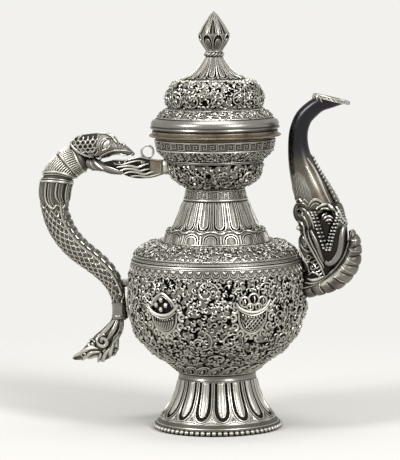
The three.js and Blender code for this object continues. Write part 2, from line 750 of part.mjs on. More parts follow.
// Finial: rope ring and bud on a rod that is riveted over a washer inside the dome
const boreRadius = rodRadius + rodPlay;
add("finial_rope_ring", turned([
  [boreRadius, ropeLow],
  [ropeRadius - 1.2, ropeLow],
  [ropeRadius, (ropeLow + ropeTop) / 2],
  [ropeRadius - 1.2, ropeTop],
  [boreRadius, ropeTop],
], small), chased, lid);
add("finial_bud", petalled(turned([
  [0, budLow + budSocketDepth],
  [boreRadius, budLow + budSocketDepth],
  [boreRadius, budLow],
  [budNeckRadius, budLow],
  [budNeckRadius + 0.5, budLow + budCalyxHeight * 0.2],
  [budRadius * 0.78, budLow + budCalyxHeight * 0.5],
  [budRadius * 0.97, budLow + budCalyxHeight * 0.82],
  [budRadius, budLow + budCalyxHeight],
  [budRadius * 0.86, budLow + budCalyxHeight + budTipHeight * 0.2],
  [budRadius * 0.58, budLow + budCalyxHeight + budTipHeight * 0.48],
  [budRadius * 0.28, budLow + budCalyxHeight + budTipHeight * 0.76],
  [0, budLow + budCalyxHeight + budTipHeight],
], budLobes * 2), budLobes, budLobeDepth, budLow + 2, budLow + budCalyxHeight + budTipHeight * 0.7,
boreRadius + 1), chased, lid);
const washerTop = domeTop - sheet - seam;
const headTop = washerTop - washerThickness - seam;
add("finial_washer", turned([
  [boreRadius, washerTop - washerThickness],
  [washerRadius, washerTop - washerThickness],
  [washerRadius, washerTop],
  [boreRadius, washerTop],
], 12), smooth, lid);
add("finial_rod", turned([
  [0, headTop - rivetHeadHeight],
  [rivetHeadRadius - 1, headTop - rivetHeadHeight],
  [rivetHeadRadius, headTop - rivetHeadHeight * 0.4],
  [rivetHeadRadius, headTop],
  [rodRadius, headTop],
  [rodRadius, budLow + budSocketDepth - seam],
  [0, budLow + budSocketDepth - seam],
], 8), smooth, lid);

// What a piece that meets the belly or the cup is trimmed by
const bellyBody = solid(turned([
  [0, bellyLow - 2],
  ...offset(bellyLine, -seam),
  [shoulderRadius + 1 + seam, ringLow - seam],
  [shoulderRadius + 1 + seam, ringTop + seam],
  ...offset(plateLine, -seam).slice(1),
  [0, plateTop + seam],
], broad));
const cupBody = solid(turned([
  [0, cupLow - 4],
  ...offset(cupLine, -seam),
  [cupBeadRadius + seam, beadLow - seam],
  [cupBeadRadius + seam, beadTop + seam],
  ...offset(fretLine, -seam).slice(1),
  [0, fretTop],
], broad));

// Spout: the hollow throat stands on the belly, and the horn on the throat
const throatSides = 12;
const throatRings = 8;
const hornRings = 16;
const throatTop = 0.99;
const hornLow = 0.012;
const reach = 80; // larger than anything that it cuts
const throatRoom = roomFor(throat, throatRings, throatSides);
const hornRoom = roomFor(horn, hornRings, throatSides);
add("makara_throat", geometryOf(solid(tapered(throat, throatRings, throatSides,
  { wall: throatWall, to: throatTop })).subtract(bellyBody)), smooth);
const lipSlope = Math.atan(lipTilt);
const lipPlace = (shape) => shape.rotateY(-lipSlope).translate(lipMiddle[0], 0, lipMiddle[1]);
const above = solid(lipPlace(new THREE.BoxGeometry(reach, reach, reach).translate(0, 0, reach / 2 - seam)));
add("spout_horn", geometryOf(
  solid(tapered(horn, hornRings, throatSides, { wall: hornWall, from: hornLow })).subtract(above)), smooth);
const lipShape = new THREE.Shape().absellipse(0, 0, lipHalfLength, lipHalfWidth, 0, Math.PI * 2);
const lipHole = new THREE.Path();
lipHole.absellipse(0, 0, lipHalfLength - lipBand, lipHalfWidth - lipBand, 0, Math.PI * 2);
lipShape.holes.push(lipHole);
add("spout_lip", closed(lipPlace(new THREE.ExtrudeGeometry(lipShape,
  { depth: lipThickness, bevelEnabled: false, curveSegments: 10 }))), smooth);

// Crest: a toothed ridge down the outer side of the horn
const crestFrom = 0.41;
const crestTo = 0.12;
const crestEdge = (share, rise) => {
  const { place, side, a } = stationAt(horn, crestFrom + (crestTo - crestFrom) * share);
  return [place.x + side.x * (a + seam + rise), place.z + side.z * (a + seam + rise)];
};
const slab = (points, depth) => solid(new THREE.ExtrudeGeometry(
  new THREE.Shape(points.map(([x, z]) => new THREE.Vector2(x, z))), { depth, bevelEnabled: false })
  .translate(0, 0, -depth / 2).rotateX(Math.PI / 2));
add("spout_crest", geometryOf(slab([
  ...Array.from({ length: crestTeeth * 2 + 1 }, (_, i) => crestEdge(i / (crestTeeth * 2), i % 2 ? crestHeight : 1.1)),
  ...Array.from({ length: crestTeeth + 1 }, (_, i) => crestEdge(1 - i / crestTeeth, 0)),
], crestThickness).subtract(hornRoom)), chased);

// Monster's head: a cup of sheet round the throat with a wedge-shaped open mouth, cheeks left at its corner
const headSpine = spineOf(placed(spoutSide, [
  [15.9, 28.3, 11, 11.5],
  [17.5, 35.3, 14.8, 14.2],
  [16.9, 44.3, 17.2, 15.6],
  [14.9, 54.3, 18.6, 16],
  [12.9, 65.3, 18.6, 15.8],
  [11.9, 69.7, 17.8, 15.2],
]));
const gape = slab(placed(spoutSide, [[18.3, 34.3], [4.9, 79.3], [34.9, 79.3]]), reach);
const headRings = 7;
const headSides = 16;
add("makara_head", geometryOf(solid(tapered(headSpine, headRings, headSides))
  .subtract(throatRoom).subtract(hornRoom).subtract(gape)), chased);
const headRoom = roomFor(headSpine, headRings, headSides);

// Scaled neck: ringed plates that curve up outside the head, ending in a point
const scuteSpine = spineOf(placed(spoutSide, [
  [-1.7, 5.1, 5.6, 7.4],
  [7.3, 7.5, 6, 8.6],
  [17.3, 10.9, 6.8, 9.8],
  [27.3, 17.1, 8, 10.4],
  [35.3, 27.9, 7.8, 10],
  [38.7, 40.9, 5.4, 8.4],
  [38.1, 47.7, 3.8, 6],
  [36.3, 52.7, 1.8, 2.4],
]));
const rings = (t) => scuteDepth * (Math.abs(Math.sin(t * scuteRings * Math.PI)) - 0.6);
add("makara_neck", geometryOf(solid(tapered(scuteSpine, scuteRings * 3, 10, { swell: rings }))
  .subtract(throatRoom).subtract(bellyBody).subtract(headRoom)), chased);

// Mane on the pot's side of the throat, from the root up to the snout
const maneSpine = spineOf(placed(spoutSide, [
  [3.8, 18.3, 3, 4.4],
  [2.7, 26.3, 4.6, 6.6],
  [1.7, 37.3, 5.4, 8],
  [0.9, 46.3, 4.8, 7.2],
  [0.7, 54.3, 3, 4.8],
]));
add("makara_mane", geometryOf(solid(tapered(maneSpine, 7, 10))
  .subtract(throatRoom).subtract(headRoom).subtract(bellyBody)), chased);

// Curled trunk over the open mouth
const trunkSpine = spineOf(placed(spoutSide, [
  [-1.5, 59.3, 2.6, 4],
  [-5.1, 63.7, 2.9, 4.4],
  [-5.9, 69.3, 2.9, 4.2],
  [-3.1, 73.7, 2.6, 3.6],
  [1.9, 75.3, 1.8, 2.6],
]));
add("makara_trunk", geometryOf(solid(tapered(trunkSpine, 9, 8))
  .subtract(headRoom).subtract(hornRoom)), chased);

// Eyes under their brows, and the rows of teeth along the wedge, one of each on either side
const sides = [["near", -1], ["far", 1]];
const [toothFoot, toothTip, ...toothTops] = placed(spoutSide,
  [[18.6, 43.3], [18.6, 40.2], [11.5, 66.3], [27.3, 66.3]]);
const toothRow = (top, leg) => {
  const [x0, z0] = toothFoot;
  const [x1, z1] = top;
  const length = Math.hypot(x1 - x0, z1 - z0);
  const inward = [(leg * (z1 - z0)) / length, Math.abs(x1 - x0) / length];
  const count = Math.round(length / toothPitch) * 2;
  const toothed = Array.from({ length: count + 1 }, (_, i) => {
    const rise = i % 2 ? toothRadius : 0;
    return [x0 + ((x1 - x0) * i) / count + inward[0] * rise, z0 + ((z1 - z0) * i) / count + inward[1] * rise];
  });
  return [[x1 - inward[0] * 1.7, z1 - inward[1] * 1.7], ...toothed.reverse()];
};
const teeth = [...toothRow(toothTops[0], 1).reverse(), toothTip, ...toothRow(toothTops[1], -1)];
const eyePlace = placed(spoutSide, [[19.9, 68.7]])[0];
for (const [side, sign] of sides) {
  const eye = solid(new THREE.SphereGeometry(eyeRadius, 10, 8).scale(1.15, 0.7, 1)
    .translate(eyePlace[0], sign * 13.4, eyePlace[1]));
  add(`makara_eye_${side}`, geometryOf(eye.subtract(hornRoom)), chased);
  add(`makara_teeth_${side}`, geometryOf(slab(teeth, 2.4)
    .translate([0, sign * 14.5, 0]).subtract(hornRoom).subtract(throatRoom)), chased);
}

// Handle: a dragon's scaled body, bent from the head at the cup down to the tail beside the belly
const bodyStations = placed(handleSide, [
  [-36.3, 109.7, 9.6, 9.6],
  [-44.7, 106.5, 11.2, 10.8],
  [-52.1, 100.1, 11.8, 11.2],
  [-56.3, 91.7, 11.9, 11.2],
  [-57.9, 81.3, 11.4, 10.8],
  [-57.9, 70.9, 10.2, 10],
  [-55.3, 59.3, 9.4, 9.4],
  [-49.1, 47.7, 9, 9],
  [-39.9, 37.3, 8.6, 8.6],
  [-28.5, 28.5, 8.1, 8.2],
  [-18.7, 19.7, 7.3, 7.6],
  [-11.9, 10.1, 6.2, 6.6],
  [-8.3, 0.7, 5.4, 5.8],
  [-7.3, -8.1, 5, 5.4],
  [-7.3, -16.7, 5.2, 5.5],
]);
const body = spineOf(bodyStations);
const atStation = (number) => number / (bodyStations.length - 1);
const bodyRings = 26;
const bodySides = 12;
add("handle_body", geometryOf(solid(tapered(body, bodyRings, bodySides))), chased);
const bodyRoom = roomFor(body, bodyRings, bodySides);

// Belly plates: a raised strip along the inside of the bend
const stripEdge = (share, rise) => {
  const { place, side, a } = stationAt(body, atStation(5.7 + 6 * share));
  return [place.x - side.x * (a + rise), place.z - side.z * (a + rise)];
};
const stripSteps = 22;
const strip = slab([
  ...Array.from({ length: stripSteps + 1 }, (_, i) =>
    stripEdge(i / stripSteps, scuteStripThickness - (i % 2) * 0.7)),
  ...Array.from({ length: stripSteps + 1 }, (_, i) => stripEdge(1 - i / stripSteps, -2.5)),
], scuteStripWidth);
add("handle_scutes", geometryOf(strip.subtract(bodyRoom)), chased);

// Cuffs: the collars under the hood and on the neck, and a plain one where the tail is socketed
const cuff = (name, from, to, material) => add(name, geometryOf(solid(tapered(body, 5, bodySides,
  { from: atStation(from), to: atStation(to), grow: seam + handleCuffGrowth + 0.6 })).subtract(bodyRoom)), material);
cuff("handle_mane_collar", 1.05, 1.3, chased);
cuff("handle_neck_collar", 2.1, 2.85, chased);
cuff("handle_tail_cuff", 12.8, 13.9, smooth);

// Tail: a tuft of curls that fans out below the cuff
const tailSpine = spineOf(placed(handleSide, [
  [-7.9, -18.2, 4.8, 5.2],
  [-9.9, -21.3, 5.8, 6.2],
  [-14.7, -27.9, 7.4, 7.4],
  [-20.9, -34.7, 8.2, 7.8],
  [-27.7, -40.5, 7.2, 7],
  [-34.5, -44.9, 5.4, 5.2],
  [-39.9, -47.7, 3.6, 3.6],
  [-43.9, -49.3, 2, 2],
]));
const tuftSpine = spineOf(placed(handleSide, [
  [-10.9, -24.7, 4.6, 5],
  [-12.3, -32.7, 5.6, 6],
  [-15.1, -40.7, 6, 6],
  [-19.3, -46.7, 4.4, 4.6],
  [-23.3, -50.7, 2.2, 2.6],
]));
add("dragon_tail", geometryOf(solid(tapered(tailSpine, 10, 10)).add(solid(tapered(tuftSpine, 6, 8)))
  .subtract(bodyRoom)), chased);

// Bracket: a short peg from the handle to the belly
const bracketLine = spineOf([
  ...placed(handleSide, [[-14.3, 11.2, bracketRadius]]),
  ...placed([-bellyRadius, bellyWide], [[9.7, 11.2, bracketRadius]]),
]);
add("handle_bracket", geometryOf(solid(tapered(bracketLine, 1, 10)).subtract(bellyBody)
  .subtract(bodyRoom).subtract(room(strip))), smooth);

// Arm: a pierced leaf held in the dragon's mouth and soldered to a flange on the cup
const arm = slab([
  ...placed(handleSide, [
    [-18.8, 106.7],
    [-11.1, 108.1],
    [-1.6, 107.9],
    [6.1, 109.7],
    [11, 110.6],
  ]),
  ...placed(bandSide, [[-6.9, 2.3]]),
  ...placed(cupSide, [
    [-9.2, 1],
    [0, 1.3],
    [9, 1.3],
    [9, -8.2],
    [0, -8.6],
    [-5, -10.4],
    [-12, -12.4],
  ]),
  ...placed(handleSide, [
    [12, 94],
    [5.5, 94.5],
    [-0.8, 96.3],
    [-9.3, 100.7],
    [-18.8, 103.3],
  ]),
], armThickness);
const flangeOuter = cupBody.add(cupBody.translate([-armFlangeThickness, 0, 0]));
const flangeBlank = solid(tapered(spineOf(placed(cupSide, [[-22.7, -3.6, 6.6, 6], [12.3, -3.6, 6.6, 6]])), 1, 12));
add("arm_flange", geometryOf(flangeBlank.intersect(flangeOuter).subtract(cupBody)), smooth);
add("handle_arm", geometryOf(arm.subtract(room(flangeOuter))), chased);
const armRoom = room(arm);

// Chain loop: a ring of wire that stands soldered on the arm
const [loopFoot] = placed(bandSide, [[-6.5, 2.2]]);
add("chain_loop", closed(new THREE.TorusGeometry(loopRadius, loopWire, 6, 16).rotateX(Math.PI / 2)
  .translate(loopFoot[0], 0, loopFoot[1] + seam + loopRadius + loopWire)), smooth);

// Dragon's head: skull and snout over a lower jaw, biting the arm
const skull = spineOf(placed(handleSide, [
  [-41.3, 115.9, 7, 8],
  [-35.3, 118.3, 9.4, 10],
  [-27.8, 119.7, 9.6, 11],
  [-20.3, 120.1, 9.4, 11],
  [-13.8, 119.5, 8.2, 9.8],
  [-7.8, 117.7, 5, 7.6],
  [-2.3, 116.4, 3.9, 6],
  [2.2, 114.3, 2.5, 4.6],
  [5.5, 112.9, 1.2, 3],
]));
const jaw = spineOf(placed(handleSide, [
  [-31.3, 106.9, 4.4, 7.2],
  [-25.3, 104.9, 4.8, 7.4],
  [-18.3, 102.7, 3.6, 6.6],
  [-11.3, 100.5, 2.6, 5.4],
  [-4.3, 98.5, 1.4, 3.6],
]));
const skullSolid = solid(tapered(skull, 12, 12)).subtract(bodyRoom).subtract(armRoom);
add("dragon_skull", geometryOf(skullSolid), chased);
const skullRoom = roomFor(skull, 12, 12);
add("dragon_jaw", geometryOf(solid(tapered(jaw, 8, 10)).subtract(bodyRoom).subtract(armRoom)
  .subtract(skullRoom)), chased);
const pupil = placed(handleSide, [[-15, 121.3]])[0];
for (const [side, sign] of sides) {
  const eye = solid(new THREE.SphereGeometry(2.9, 10, 8).scale(1.4, 1, 1).rotateY(-0.7)
    .translate(pupil[0], sign * 9.8, pupil[1]));
  add(`dragon_eye_${side}`, geometryOf(eye.subtract(skullRoom)), smooth);
}

// The origin lies under the middle of the whole pot
const extent = new THREE.Box3().setFromObject(pot);
pot.position.set(-(extent.min.x + extent.max.x) / 2, 0, -extent.min.z);

export default pot;
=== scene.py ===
import random
from bisect import bisect_right
from functools import cache
from math import atan2, ceil, cos, hypot, pi, radians, sin, sqrt, tau

import bmesh
import bpy
from mathutils import Matrix, Vector
from mathutils.bvhtree import BVHTree


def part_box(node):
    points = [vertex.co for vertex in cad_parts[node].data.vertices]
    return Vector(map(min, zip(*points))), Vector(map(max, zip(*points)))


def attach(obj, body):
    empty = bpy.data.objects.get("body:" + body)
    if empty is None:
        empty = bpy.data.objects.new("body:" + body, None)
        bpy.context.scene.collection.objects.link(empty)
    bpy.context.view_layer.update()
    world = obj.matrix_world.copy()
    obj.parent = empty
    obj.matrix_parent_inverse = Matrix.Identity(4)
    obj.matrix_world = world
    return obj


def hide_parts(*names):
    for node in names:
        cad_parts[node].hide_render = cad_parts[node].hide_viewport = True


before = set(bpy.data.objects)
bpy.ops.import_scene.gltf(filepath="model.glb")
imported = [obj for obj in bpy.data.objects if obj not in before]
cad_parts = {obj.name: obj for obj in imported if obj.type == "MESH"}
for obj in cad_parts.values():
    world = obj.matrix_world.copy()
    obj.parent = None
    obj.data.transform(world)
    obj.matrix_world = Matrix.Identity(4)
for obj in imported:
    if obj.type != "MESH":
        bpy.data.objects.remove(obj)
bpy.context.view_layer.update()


# Foot rim: the heavy ring that the pot stands on, cast and soldered under the raised foot. A row of
# half-round beads runs round it, struck with a hollow punch, and tarnish sits black between them.
MM = 0.001
AXIS_X = sum(corner.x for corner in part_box("foot_rim")) / 2
SHARP = radians(38)


def heights(node):
    """The lowest and highest millimetre of a CAD node."""
    low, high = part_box(node)
    return low.z / MM, high.z / MM


def linear(code):
    """An sRGB hex colour as linear RGBA."""
    shares = [int(code[i:i + 2], 16) / 255 for i in (1, 3, 5)]
    return [s / 12.92 if s <= 0.04045 else ((s + 0.055) / 1.055) ** 2.4 for s in shares] + [1]


def add_node(tree, kind, settings=None, sockets=None):
    """A node with its settings, and its sockets set to values or linked to other nodes' sockets."""
    node = tree.nodes.new(kind)
    for key, value in (settings or {}).items():
        setattr(node, key, value)
    for key, value in (sockets or {}).items():
        if isinstance(value, bpy.types.NodeSocket):
            tree.links.new(value, node.inputs[key])
        else:
            node.inputs[key].default_value = value
    return node


def ramp(tree, value, start, end, low=0.0, high=1.0, curve="LINEAR"):
    """A value that runs from low to high as another runs from start to end, and holds past both."""
    node = add_node(tree, "ShaderNodeMapRange", {"clamp": True, "interpolation_type": curve},
                    {"Value": value, "From Min": start, "From Max": end, "To Min": low, "To Max": high})
    return node.outputs[0]


def maths(tree, operation, *values):
    """The result of one Math node."""
    return add_node(tree, "ShaderNodeMath", {"operation": operation}, dict(enumerate(values))).outputs[0]


def mixed(tree, share, first, second):
    """Two colours mixed, all of the second where the share is 1."""
    node = add_node(tree, "ShaderNodeMix", {"data_type": "RGBA"}, {0: share, 6: first, 7: second})
    return node.outputs[2]


def noise(tree, place, scale, detail, roughness):
    """Noise from 0 to 1, with about `scale` lumps to the metre."""
    return add_node(tree, "ShaderNodeTexNoise", {}, {"Vector": place, "Scale": scale, "Detail": detail,
                                                     "Roughness": roughness}).outputs["Fac"]


def empty_tree(owner):
    """The cleared node tree of a material or a world."""
    owner.use_nodes = True
    owner.node_tree.nodes.clear()
    return owner.node_tree


LEFT_BLACK = 0.38
RUBBED_BRIGHT = 0.93
SAW_EDGE = (0.525, 0.51)
CLOUDS_PER_METRE = 55


def darkened_silver(name, ridge, hollow, tarnish, roughness, reach_mm=2.2, punch_mm=0.5, depth_mm=0.12,
                    patina=0.35, holes_mm=0.0, above=None):
    """Silver that was blackened and rubbed back: bright where the cloth reached, black in the hollows.
    reach_mm is how far apart walls may stand and still hold the black, punch_mm the size of the chaser's
    marks, holes_mm the width of the openings that the saw left, and above the colour further up with the
    two heights in mm between which it takes over."""
    material = bpy.data.materials.new(name)
    tree = empty_tree(material)
    place = add_node(tree, "ShaderNodeTexCoord").outputs["Object"]
    open_sky = add_node(tree, "ShaderNodeAmbientOcclusion", {"samples": 6}, {"Distance": reach_mm * MM})
    rubbed = ramp(tree, open_sky.outputs["AO"], LEFT_BLACK, RUBBED_BRIGHT)
    if holes_mm:
        saw = noise(tree, place, 0.62 / (holes_mm * MM), 1.0, 0.4)
        rubbed = maths(tree, "MULTIPLY", rubbed, ramp(tree, saw, *SAW_EDGE))
    clouds = noise(tree, place, CLOUDS_PER_METRE, 5.0, 0.62)
    veiled = mixed(tree, ramp(tree, clouds, 0.42, 0.72, 0, patina), linear(ridge), linear(tarnish))
    if above:
        height = add_node(tree, "ShaderNodeSeparateXYZ", {}, {"Vector": place}).outputs["Z"]
        risen = ramp(tree, height, above[1] * MM, above[2] * MM, curve="SMOOTHSTEP")
        veiled = mixed(tree, risen, veiled, linear(above[0]))
    marks = noise(tree, place, 1 / (punch_mm * MM) / 4, 4.0, 0.6)
    dull = ramp(tree, rubbed, 0, 1, min(1, roughness + 0.3), roughness)
    bump = add_node(tree, "ShaderNodeBump", {},
                    {"Height": marks, "Strength": 0.55, "Distance": depth_mm * MM})
    shader = add_node(tree, "ShaderNodeBsdfPrincipled", {},
                      {"Base Color": mixed(tree, rubbed, linear(hollow), veiled), "Metallic": 1.0,
                       "Roughness": maths(tree, "MULTIPLY_ADD", clouds, 0.22, dull),
                       "Normal": bump.outputs["Normal"]})
    add_node(tree, "ShaderNodeOutputMaterial", {}, {"Surface": shader.outputs["BSDF"]})
    return material


def soften(bm):
    """Smooth shading, with a crease kept wherever two faces meet at a sharp angle."""
    for face in bm.faces:
        face.smooth = True
    for edge in bm.edges:
        edge.smooth = edge.calc_face_angle(0) < SHARP


def deliver(bm, name, material, replaced=(), body="pot", more=()):
    """A finished bmesh as a piece that rides on a body and stands for some CAD nodes. more holds the
    further materials that some of its faces name by number."""
    soften(bm)
    mesh = bpy.data.meshes.new(name)
    bm.to_mesh(mesh)
    bm.free()
    piece = bpy.data.objects.new(name, mesh)
    bpy.context.scene.collection.objects.link(piece)
    for coat in (material, *more):
        mesh.materials.append(coat)
    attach(piece, body)
    if replaced:
        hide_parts(*replaced)


def coated(bm, number, chosen):
    """Gives the material of a number to the faces whose middle is chosen by x from the axis and z, in
    mm."""
    for face in bm.faces:
        middle = face.calc_center_median()
        if chosen((middle.x - AXIS_X) / MM, middle.z / MM):
            face.material_index = number


def spun(profile, steps=144, whole=True):
    """A profile of [radius, height] points in mm spun round the pot's axis. whole closes it on itself."""
    bm = bmesh.new()
    corners = [bm.verts.new((r * MM, 0, z * MM)) for r, z in profile]
    lines = [bm.edges.new(pair) for pair in zip(corners, corners[1:])]
    if whole:
        lines.append(bm.edges.new((corners[-1], corners[0])))
    bmesh.ops.spin(bm, geom=corners + lines, cent=(0, 0, 0), axis=(0, 0, 1), angle=tau, steps=steps,
                   use_merge=True)
    bmesh.ops.remove_doubles(bm, verts=bm.verts, dist=2e-6)
    bmesh.ops.translate(bm, verts=bm.verts, vec=(AXIS_X, 0, 0))
    bmesh.ops.recalc_face_normals(bm, faces=bm.faces)
    return bm


def inset(radius, *points):
    """A profile whose points are given by how far they lie inside a radius and by their height, in mm."""
    return [(radius - inside, z) for inside, z in points]


def beads(bm, count, radius, height, size):
    """A ring of half-round beads added to a bmesh, all in mm."""
    for k in range(count):
        turn = tau * k / count
        place = Matrix.Translation((AXIS_X + radius * MM * cos(turn), radius * MM * sin(turn), height * MM))
        bmesh.ops.create_icosphere(bm, subdivisions=2, radius=size * MM, matrix=place)


chased_silver = darkened_silver("chased silver, blackened and rubbed",
                                "#d8d5cc", "#1b1917", "#98938a", 0.25)
# Black ground: tarnish in grooves, between beads and behind the pierced work. On the sea monster's gape and
# throat the same black is painted shade, where they lie in shadow.
black_ground_and_shade = darkened_silver("black ground and painted shade", "#3b3834", "#0b0a09", "#282521", 0.5,
                                 reach_mm=3.0)
blackened_silver = darkened_silver("silver left black between chased lines",
                                   "#757169", "#0e0d0c", "#45413a", 0.36, reach_mm=2.8)
chased_ground = darkened_silver("chased ground, stippled", "#8f8b84", "#171513", "#5a564f", 0.4)
pierced_sheet = darkened_silver("sheet pierced between the leaves", "#9b988f", "#0d0c0b", "#57534b", 0.36,
                                holes_mm=3.6)
smooth_silver = darkened_silver("smooth silver, darkened", "#9d9a94", "#1d1b1a", "#6d655a", 0.2,
                                reach_mm=3.0, punch_mm=1.2, depth_mm=0.05)

low, high = heights("foot_rim")
RIM_RADIUS = 51.2
rim = spun(inset(RIM_RADIUS, (5, low), (1.8, low), (1.2, low + 0.5), (1.0, low + 1.2), (1.0, high - 1.0),
                             (1.6, high - 0.3), (2.2, high), (5, high)))
BEADS = 70
BEAD = 2.0
coated(rim, 1, lambda x, z: True)
beads(rim, BEADS, RIM_RADIUS - 1.6, low + BEAD + 0.1, BEAD)
deliver(rim, "foot_rim_beaded", chased_silver, ["foot_rim"], more=(black_ground_and_shade,))


# Foot: a trumpet raised from one sheet. Sixteen long petals stand on it, each with a double line round
# its tongue, chased from the front, with a narrow leaf between each two and a plain border below.
class Wall:
    """The outer line of a turned wall, walked by the distance up it in mm."""

    def __init__(self, points):
        self.points = [Vector(p) for p in points]
        self.run = [0.0]
        for a, b in zip(self.points, self.points[1:]):
            self.run.append(self.run[-1] + (b - a).length)
        self.length = self.run[-1]

    def ring(self, up):
        """Radius, height, and the outward direction (radial, upward) at a distance up the wall."""
        i = min(max(bisect_right(self.run, up) - 1, 0), len(self.points) - 2)
        a, b = self.points[i], self.points[i + 1]
        share = (up - self.run[i]) / max(self.run[i + 1] - self.run[i], 1e-9)
        here = a.lerp(b, share)
        along = (b - a).normalized()
        if 0 < i and share < 0.5:
            along = (along + (a - self.points[i - 1]).normalized()).normalized()
        if i < len(self.points) - 2 and share > 0.5:
            along = (along + (self.points[i + 2] - b).normalized()).normalized()
        return here.x, here.y, along.y, -along.x

    def at(self, turn, up, lift=0.0):
        """A point of the wall in metres. turn is in radians, lift in mm off the surface."""
        r, z, out, rise = self.ring(up)
        r, z = r + out * lift, z + rise * lift
        return Vector((AXIS_X + r * MM * cos(turn), r * MM * sin(turn), z * MM))

    def up_to(self, z):
        """The distance up the wall at which it first reaches a height."""
        for i, (a, b) in enumerate(zip(self.points, self.points[1:])):
            if min(a.y, b.y) <= z <= max(a.y, b.y) and a.y != b.y:
                return self.run[i] + (z - a.y) / (b.y - a.y) * (self.run[i + 1] - self.run[i])
        return self.length if z > self.points[-1].y else 0.0


def smooth_line(points, steps=6):
    """A Catmull-Rom line through 2-D points."""
    padded = [points[0], *points, points[-1]]
    line = []
    for a, b, c, d in zip(padded, padded[1:], padded[2:], padded[3:]):
        for k in range(steps):
            t = k / steps
            line.append(tuple(0.5 * (2 * q + (r - p) * t + (2 * p - 5 * q + 4 * r - s) * t * t
                                     + (3 * q - p - 3 * r + s) * t ** 3)
                              for p, q, r, s in zip(a, b, c, d)))
    return [*line, tuple(points[-1])]


def shell(line, sheet):
    """A wall's line with the same line a sheet's thickness further in, as one closed profile."""
    wall = Wall(line)
    inner = []
    for run in wall.run:
        r, z, out, rise = wall.ring(run)
        inner.append((max(r - out * sheet, 0.2), z - rise * sheet))
    inner[0] = (inner[0][0], line[0][1])
    inner[-1] = (inner[-1][0], line[-1][1])
    return [*line, *reversed(inner)]


def strokes(name, lines, sides=3, material=chased_silver, replaced=(), body="pot"):
    """Raised lines of silver. Each line is a list of (place in metres, half width in mm)."""
    data = bpy.data.curves.new(name, "CURVE")
    data.dimensions = "3D"
    data.bevel_depth = MM
    data.bevel_resolution = sides - 2
    data.use_fill_caps = True
    data.twist_mode = "MINIMUM"
    for line in lines:
        spline = data.splines.new("POLY")
        spline.points.add(len(line) - 1)
        for point, (place, width) in zip(spline.points, line):
            point.co = (*place, 1)
            point.radius = width
    drawn = bpy.data.objects.new(name + "_lines", data)
    bpy.context.scene.collection.objects.link(drawn)
    bpy.context.view_layer.update()
    mesh = bpy.data.meshes.new_from_object(drawn.evaluated_get(bpy.context.evaluated_depsgraph_get()))
    bpy.data.objects.remove(drawn)
    bm = bmesh.new()
    bm.from_mesh(mesh)
    bpy.data.meshes.remove(mesh)
    bmesh.ops.remove_doubles(bm, verts=bm.verts, dist=1e-7)
    deliver(bm, name, material, replaced, body)


def tongue(centre, half, foot, tip, point=0.35, count=9):
    """An upside-down U in (turn, up): the outline of one petal with its tip at `tip` and its open end at
    `foot`."""
    side = [(centre - half, foot + (tip - foot) * (1 - point) * k / 3) for k in range(3)]
    arc = []
    for k in range(count):
        t = pi * k / (count - 1)
        arc.append((centre - half * cos(t), foot + (tip - foot) * ((1 - point) + point * sin(t))))
    return [*side, *arc, *[(2 * centre - turn, up) for turn, up in reversed(side)]]


def petal_lines(wall, count, rows, lift=0.3):
    """The outlines of a ring of petals as raised lines. A row is the share of a petal that its first
    middle is turned by, the outline, and the half width of its line."""
    return [[(wall.at(turn, up, lift), width) for turn, up in tongue(tau * (k + shift) / count, *outline)]
            for k in range(count) for shift, outline, width in rows]


def in_tongue(side, up, half, foot, tip, point=0.35):
    """Whether a place lies inside a petal's outline. side is its turn from the petal's middle."""
    share = (up - foot) / (tip - foot)
    bend = max(0, (share - 1 + point) / point)
    return 0 <= share <= 1 and abs(side) < half * sqrt(max(0, 1 - bend * bend))


def embossed(bm, wall, petals, rise=0.7, sink=0.6):
    """Presses petals into a turned wall. Each kind of petal is its count, the turn of the first one's
    middle, and the outlines of its edge and of its core: the core swells, and the groove round it is sunk
    and black."""
    @cache
    def level(z):
        up = wall.up_to(z)
        return up, wall.ring(up)[0]

    def pressed(place):
        x, y, z = place.x - AXIS_X, place.y, place.z / MM
        up, radius = level(z)
        if radius * MM - hypot(x, y) > 0.4 * MM:
            return 0.0
        turn = atan2(y, x)
        for count, middle, edge, core in petals:
            pitch = tau / count
            side = (turn - middle + pitch / 2) % pitch - pitch / 2
            if in_tongue(side, up, *core):
                return rise * (1 - (side / core[0]) ** 2)
            if in_tongue(side, up, *edge):
                return -sink
        return 0.0

    for face in bm.faces:
        face.material_index = int(pressed(face.calc_center_median()) < 0)
    pushes = [pressed(vert.co) for vert in bm.verts]
    for vert, push in zip(bm.verts, pushes):
        out = Vector((vert.co.x - AXIS_X, vert.co.y, 0)).normalized()
        vert.co += out * push * MM


low, high = heights("foot_shell")
FOOT_LINE = [(49, low), (48.4, low + 0.7), (47.2, low + 2.4), (46.3, low + 3.2), *smooth_line([
    (45.6, low + 4), (42.7, low + 8), (39.2, low + 12.6), (36.2, low + 17.4), (33.6, low + 23),
    (31.8, low + 28), (30.2, high)], 10)]
FOOT_PETALS = 16
foot_wall = Wall(FOOT_LINE)
top = foot_wall.length - 0.6
bottom = foot_wall.up_to(low + 5.4)
FOOT_EDGE = (0.17, top, bottom + 0.6, 0.4)
FOOT_CORE = (0.08, top, bottom + 4.6, 0.36)
foot = spun(shell(FOOT_LINE, 1.2), steps=320)
embossed(foot, foot_wall, [(FOOT_PETALS, pi / FOOT_PETALS, FOOT_EDGE, FOOT_CORE)], rise=0.9, sink=0.8)
BORDER_TALL = 4.2
coated(foot, 2, lambda x, z: z < low + BORDER_TALL)
deliver(foot, "foot_trumpet", chased_silver, ["foot_shell"], more=(black_ground_and_shade, blackened_silver))
lines = petal_lines(foot_wall, FOOT_PETALS, ((0.5, FOOT_EDGE, 0.5), (0.5, FOOT_CORE, 0.46)))
